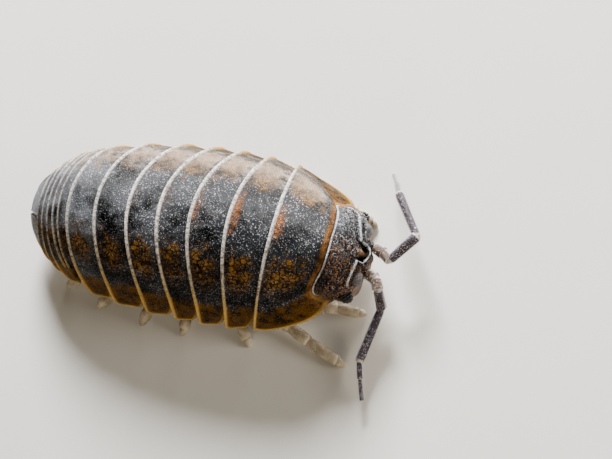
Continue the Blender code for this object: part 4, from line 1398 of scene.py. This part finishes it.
def make_light(name, place, target, size, power, tint):
    light = bpy.data.lights.new(name, "AREA")
    light.shape = "DISK"
    light.size = size * MM
    light.energy = power
    light.color = tint
    holder = add_object(name, light)
    holder.location = Vector(place) * MM
    direction = Vector(target) * MM - holder.location
    holder.rotation_euler = direction.to_track_quat("-Z", "Y").to_euler()


def make_world():
    world = bpy.data.worlds.new("studio")
    world.use_nodes = True
    background = world.node_tree.nodes["Background"]
    background.inputs["Color"].default_value = (1.0, 0.97, 0.93, 1.0)
    background.inputs["Strength"].default_value = 0.07
    bpy.context.scene.world = world


def make_camera():
    data = bpy.data.cameras.new("photo_camera")
    data.sensor_fit = "HORIZONTAL"
    data.sensor_width = CAMERA_SENSOR
    data.lens = CAMERA_LENS
    data.clip_start = 0.01
    data.clip_end = 10
    camera = add_object("photo_camera", data)
    turn = Matrix((CAMERA_RIGHT, CAMERA_UP, CAMERA_BACK)).transposed().to_4x4()
    place = Vector(CAMERA_PLACE) + Vector(SHIFT)
    camera.matrix_world = Matrix.Translation(place * MM) @ turn
    bpy.context.scene.camera = camera


def make_studio():
    make_floor()
    make_world()
    for light in LIGHTS:
        make_light(*light)
    make_camera()


# Pieces


def make_plates():
    shell = make_shell_material("shell_finish")
    first_shell = make_shell_material("first_shell_finish", front_strip=1.0)
    edges = plate_edges()
    for number, (front, rear) in enumerate(zip(edges, edges[1:]), start=1):
        first = number == 1
        limit_of = partial(lobe_limit, front_angle=FIRST_LOBE_FRONT_ANGLE) if first else lobe_limit
        build = Build(SHELL_LABELS)
        add_plate(build, front, rear, limit_of, PLATE_STEP, PLATE_ORANGE[number - 1],
                  PLATE_PAINTED_SHEEN[number - 1], number, first)
        name = "plate_%d" % number
        finish_piece(build.piece("%s_shell" % name, first_shell if first else shell), name)


def make_tail_rings(finish):
    """The five short rings of the tail, as one piece."""
    build = Build(SHELL_LABELS)
    edges = bowed_edges(TAIL_BACK_EDGES, TAIL_RIM_EDGES)
    for number, (front, rear) in enumerate(zip(edges, edges[1:])):
        bare = number < TAIL_BARE_RINGS
        limit_of = bare_limit if bare else partial(lobe_limit, cut=TAIL_LOBE_CUT)
        # The tail rings get no warm spots and the full painted sheen.
        add_plate(build, front, rear, limit_of, TAIL_RING_STEP, 0.0, 1.0, TAIL_SEED + number,
                  columns=TAIL_COLUMNS, bead_width=TAIL_BEAD_WIDTH)
    finish_piece(build.piece("tail_ring_shells", finish), "tail_rings")


def make_tail_end(finish):
    """The end plate and the two flaps beside it."""
    front = bowed_edges(TAIL_BACK_EDGES, TAIL_RIM_EDGES)[-1]
    rear = Edge(TAIL_END_BACK_X, TAIL_END_RIM_X, 0.0, 1)
    for name, front_angles, rear_angles in TAIL_END_ANGLES:
        build = Build(SHELL_LABELS)
        add_tail_end(build, front, rear, front_angles, rear_angles)
        finish_piece(build.piece("%s_shell" % name, finish), name)


def make_head(head_finish, eye_finish):
    points, faces, values = head_skin()
    finish_piece(make_mesh("head_skin", points, faces, head_finish, values), "head")
    for side, name in ((LEFT, "eye_left"), (RIGHT, "eye_right")):
        place = turned(*on_side(EYE_PLACE, side))
        bm = bmesh.new()
        bmesh.ops.create_icosphere(bm, subdivisions=2, radius=1)
        bm.verts.index_update()
        form = [np.array(vert.co) * EYE_FORM_RADII + place for vert in bm.verts]
        triangles = [[vert.index for vert in face.verts] for face in bm.faces]
        bm.free()
        eye = make_mesh("%s_facets" % name, form, triangles, eye_finish, {})
        apply_tree(eye, FACETS, {"Facet Radius": EYE_FACET_RADIUS * MM, "Facet Finish": eye_finish})
        finish_piece(eye, name)


def make_feelers(finish, bristle_finish):
    for name, joints in (("feeler_left", LEFT_FEELER), ("feeler_right", RIGHT_FEELER)):
        build = limb_build(joints, FEELER_RADII, FEELER_SIDES, FEELER_FLUTES, FEELER_PROFILE)
        piece = build.piece("%s_skin" % name, finish)
        add_bristles(piece, bristle_finish, per_square_millimetre=34, length=0.13, radius=0.011, seed=5)
        finish_piece(piece, name)


def leg_joints(leg, side):
    root = np.array((leg.root_x, side * LEG_ROOT_Y, LEG_ROOT_Z))
    knee = np.array(on_side(leg.knee, side))
    shin = np.array(on_side(leg.shin, side))
    foot = np.array(on_side((*leg.foot, CLAW_HEIGHT), side))
    ankle = foot + unit(shin - foot) * ANKLE_LENGTH
    ankle[2] = max(ankle[2], ANKLE_HEIGHT)
    return root, knee, (knee + shin) / 2, shin, ankle, foot


def make_legs(finish, bristle_finish):
    for side_name, side, legs in (("left", LEFT, LEFT_LEGS), ("right", RIGHT, RIGHT_LEGS)):
        for number, leg in enumerate(legs, start=1):
            name = "leg_%s_%d" % (side_name, number)
            joints = leg_joints(leg, side)
            build = limb_build(joints[:-1], LEG_RADII, LEG_SIDES, LEG_FLUTES, LEG_PROFILE)
            add_article(build, joints[-2], joints[-1], LEG_RADII[-1], CLAW_NUMBER, CLAW_SIDES, 0.0,
                        CLAW_PROFILE)
            for part in build.points:
                part[:, 2] = np.maximum(part[:, 2], 0.0)
            piece = build.piece("%s_skin" % name, finish)
            add_bristles(piece, bristle_finish, per_square_millimetre=12, length=0.16, radius=0.012,
                         seed=number)
            finish_piece(piece, name)


def make_gills(finish):
    """Pairs of flat leaves under the tail, each lapping the next."""
    build = Build()
    add_round(build, ellipsoid_loops(*GILL_KEEL))
    tilt = Matrix.Rotation(GILL_LEAF_TILT, 3, "Y")
    x, y, z = GILL_LEAF_PLACE
    length, width, thickness = GILL_LEAF_RADII
    for row in range(GILL_PAIRS):
        shrink = GILL_LEAF_SHRINK * row
        for side in (LEFT, RIGHT):
            place = (x - GILL_LEAF_STEP * row, side * (y - shrink), z)
            radii = (length, width - shrink, thickness)
            add_round(build, ellipsoid_loops(place, radii, tilt, 24, 40))
    finish_piece(build.piece("gill_leaves", finish), "gill_plates")


def make_mouth(finish):
    build = Build()
    for side in (LEFT, RIGHT):
        for place, radii in PALPS:
            add_round(build, ellipsoid_loops(on_side(place, side), radii))
    finish_piece(build.piece("mouth_palps", finish), "mouthparts")


make_studio()
make_plates()
tail_finish = make_shell_material("tail_finish", TAIL_BEAD_WIDTH)
make_tail_rings(tail_finish)
make_head(make_head_material(), make_eye_material())
bristle_finish = make_horn_material("bristle_finish", (0.35, 0.3, 0.25), (0.7, 0.66, 0.6), 6.0, 0.4)
leg_finish = make_horn_material("leg_finish", (0.22, 0.17, 0.11), (0.6, 0.52, 0.39), 1.5, 0.4)
gill_finish = make_horn_material("gill_finish", (0.5, 0.47, 0.4), (0.8, 0.79, 0.74), 2.5, 0.45)
make_feelers(make_feeler_material(), bristle_finish)
make_legs(leg_finish, bristle_finish)
make_tail_end(tail_finish)
make_gills(gill_finish)
make_mouth(leg_finish)
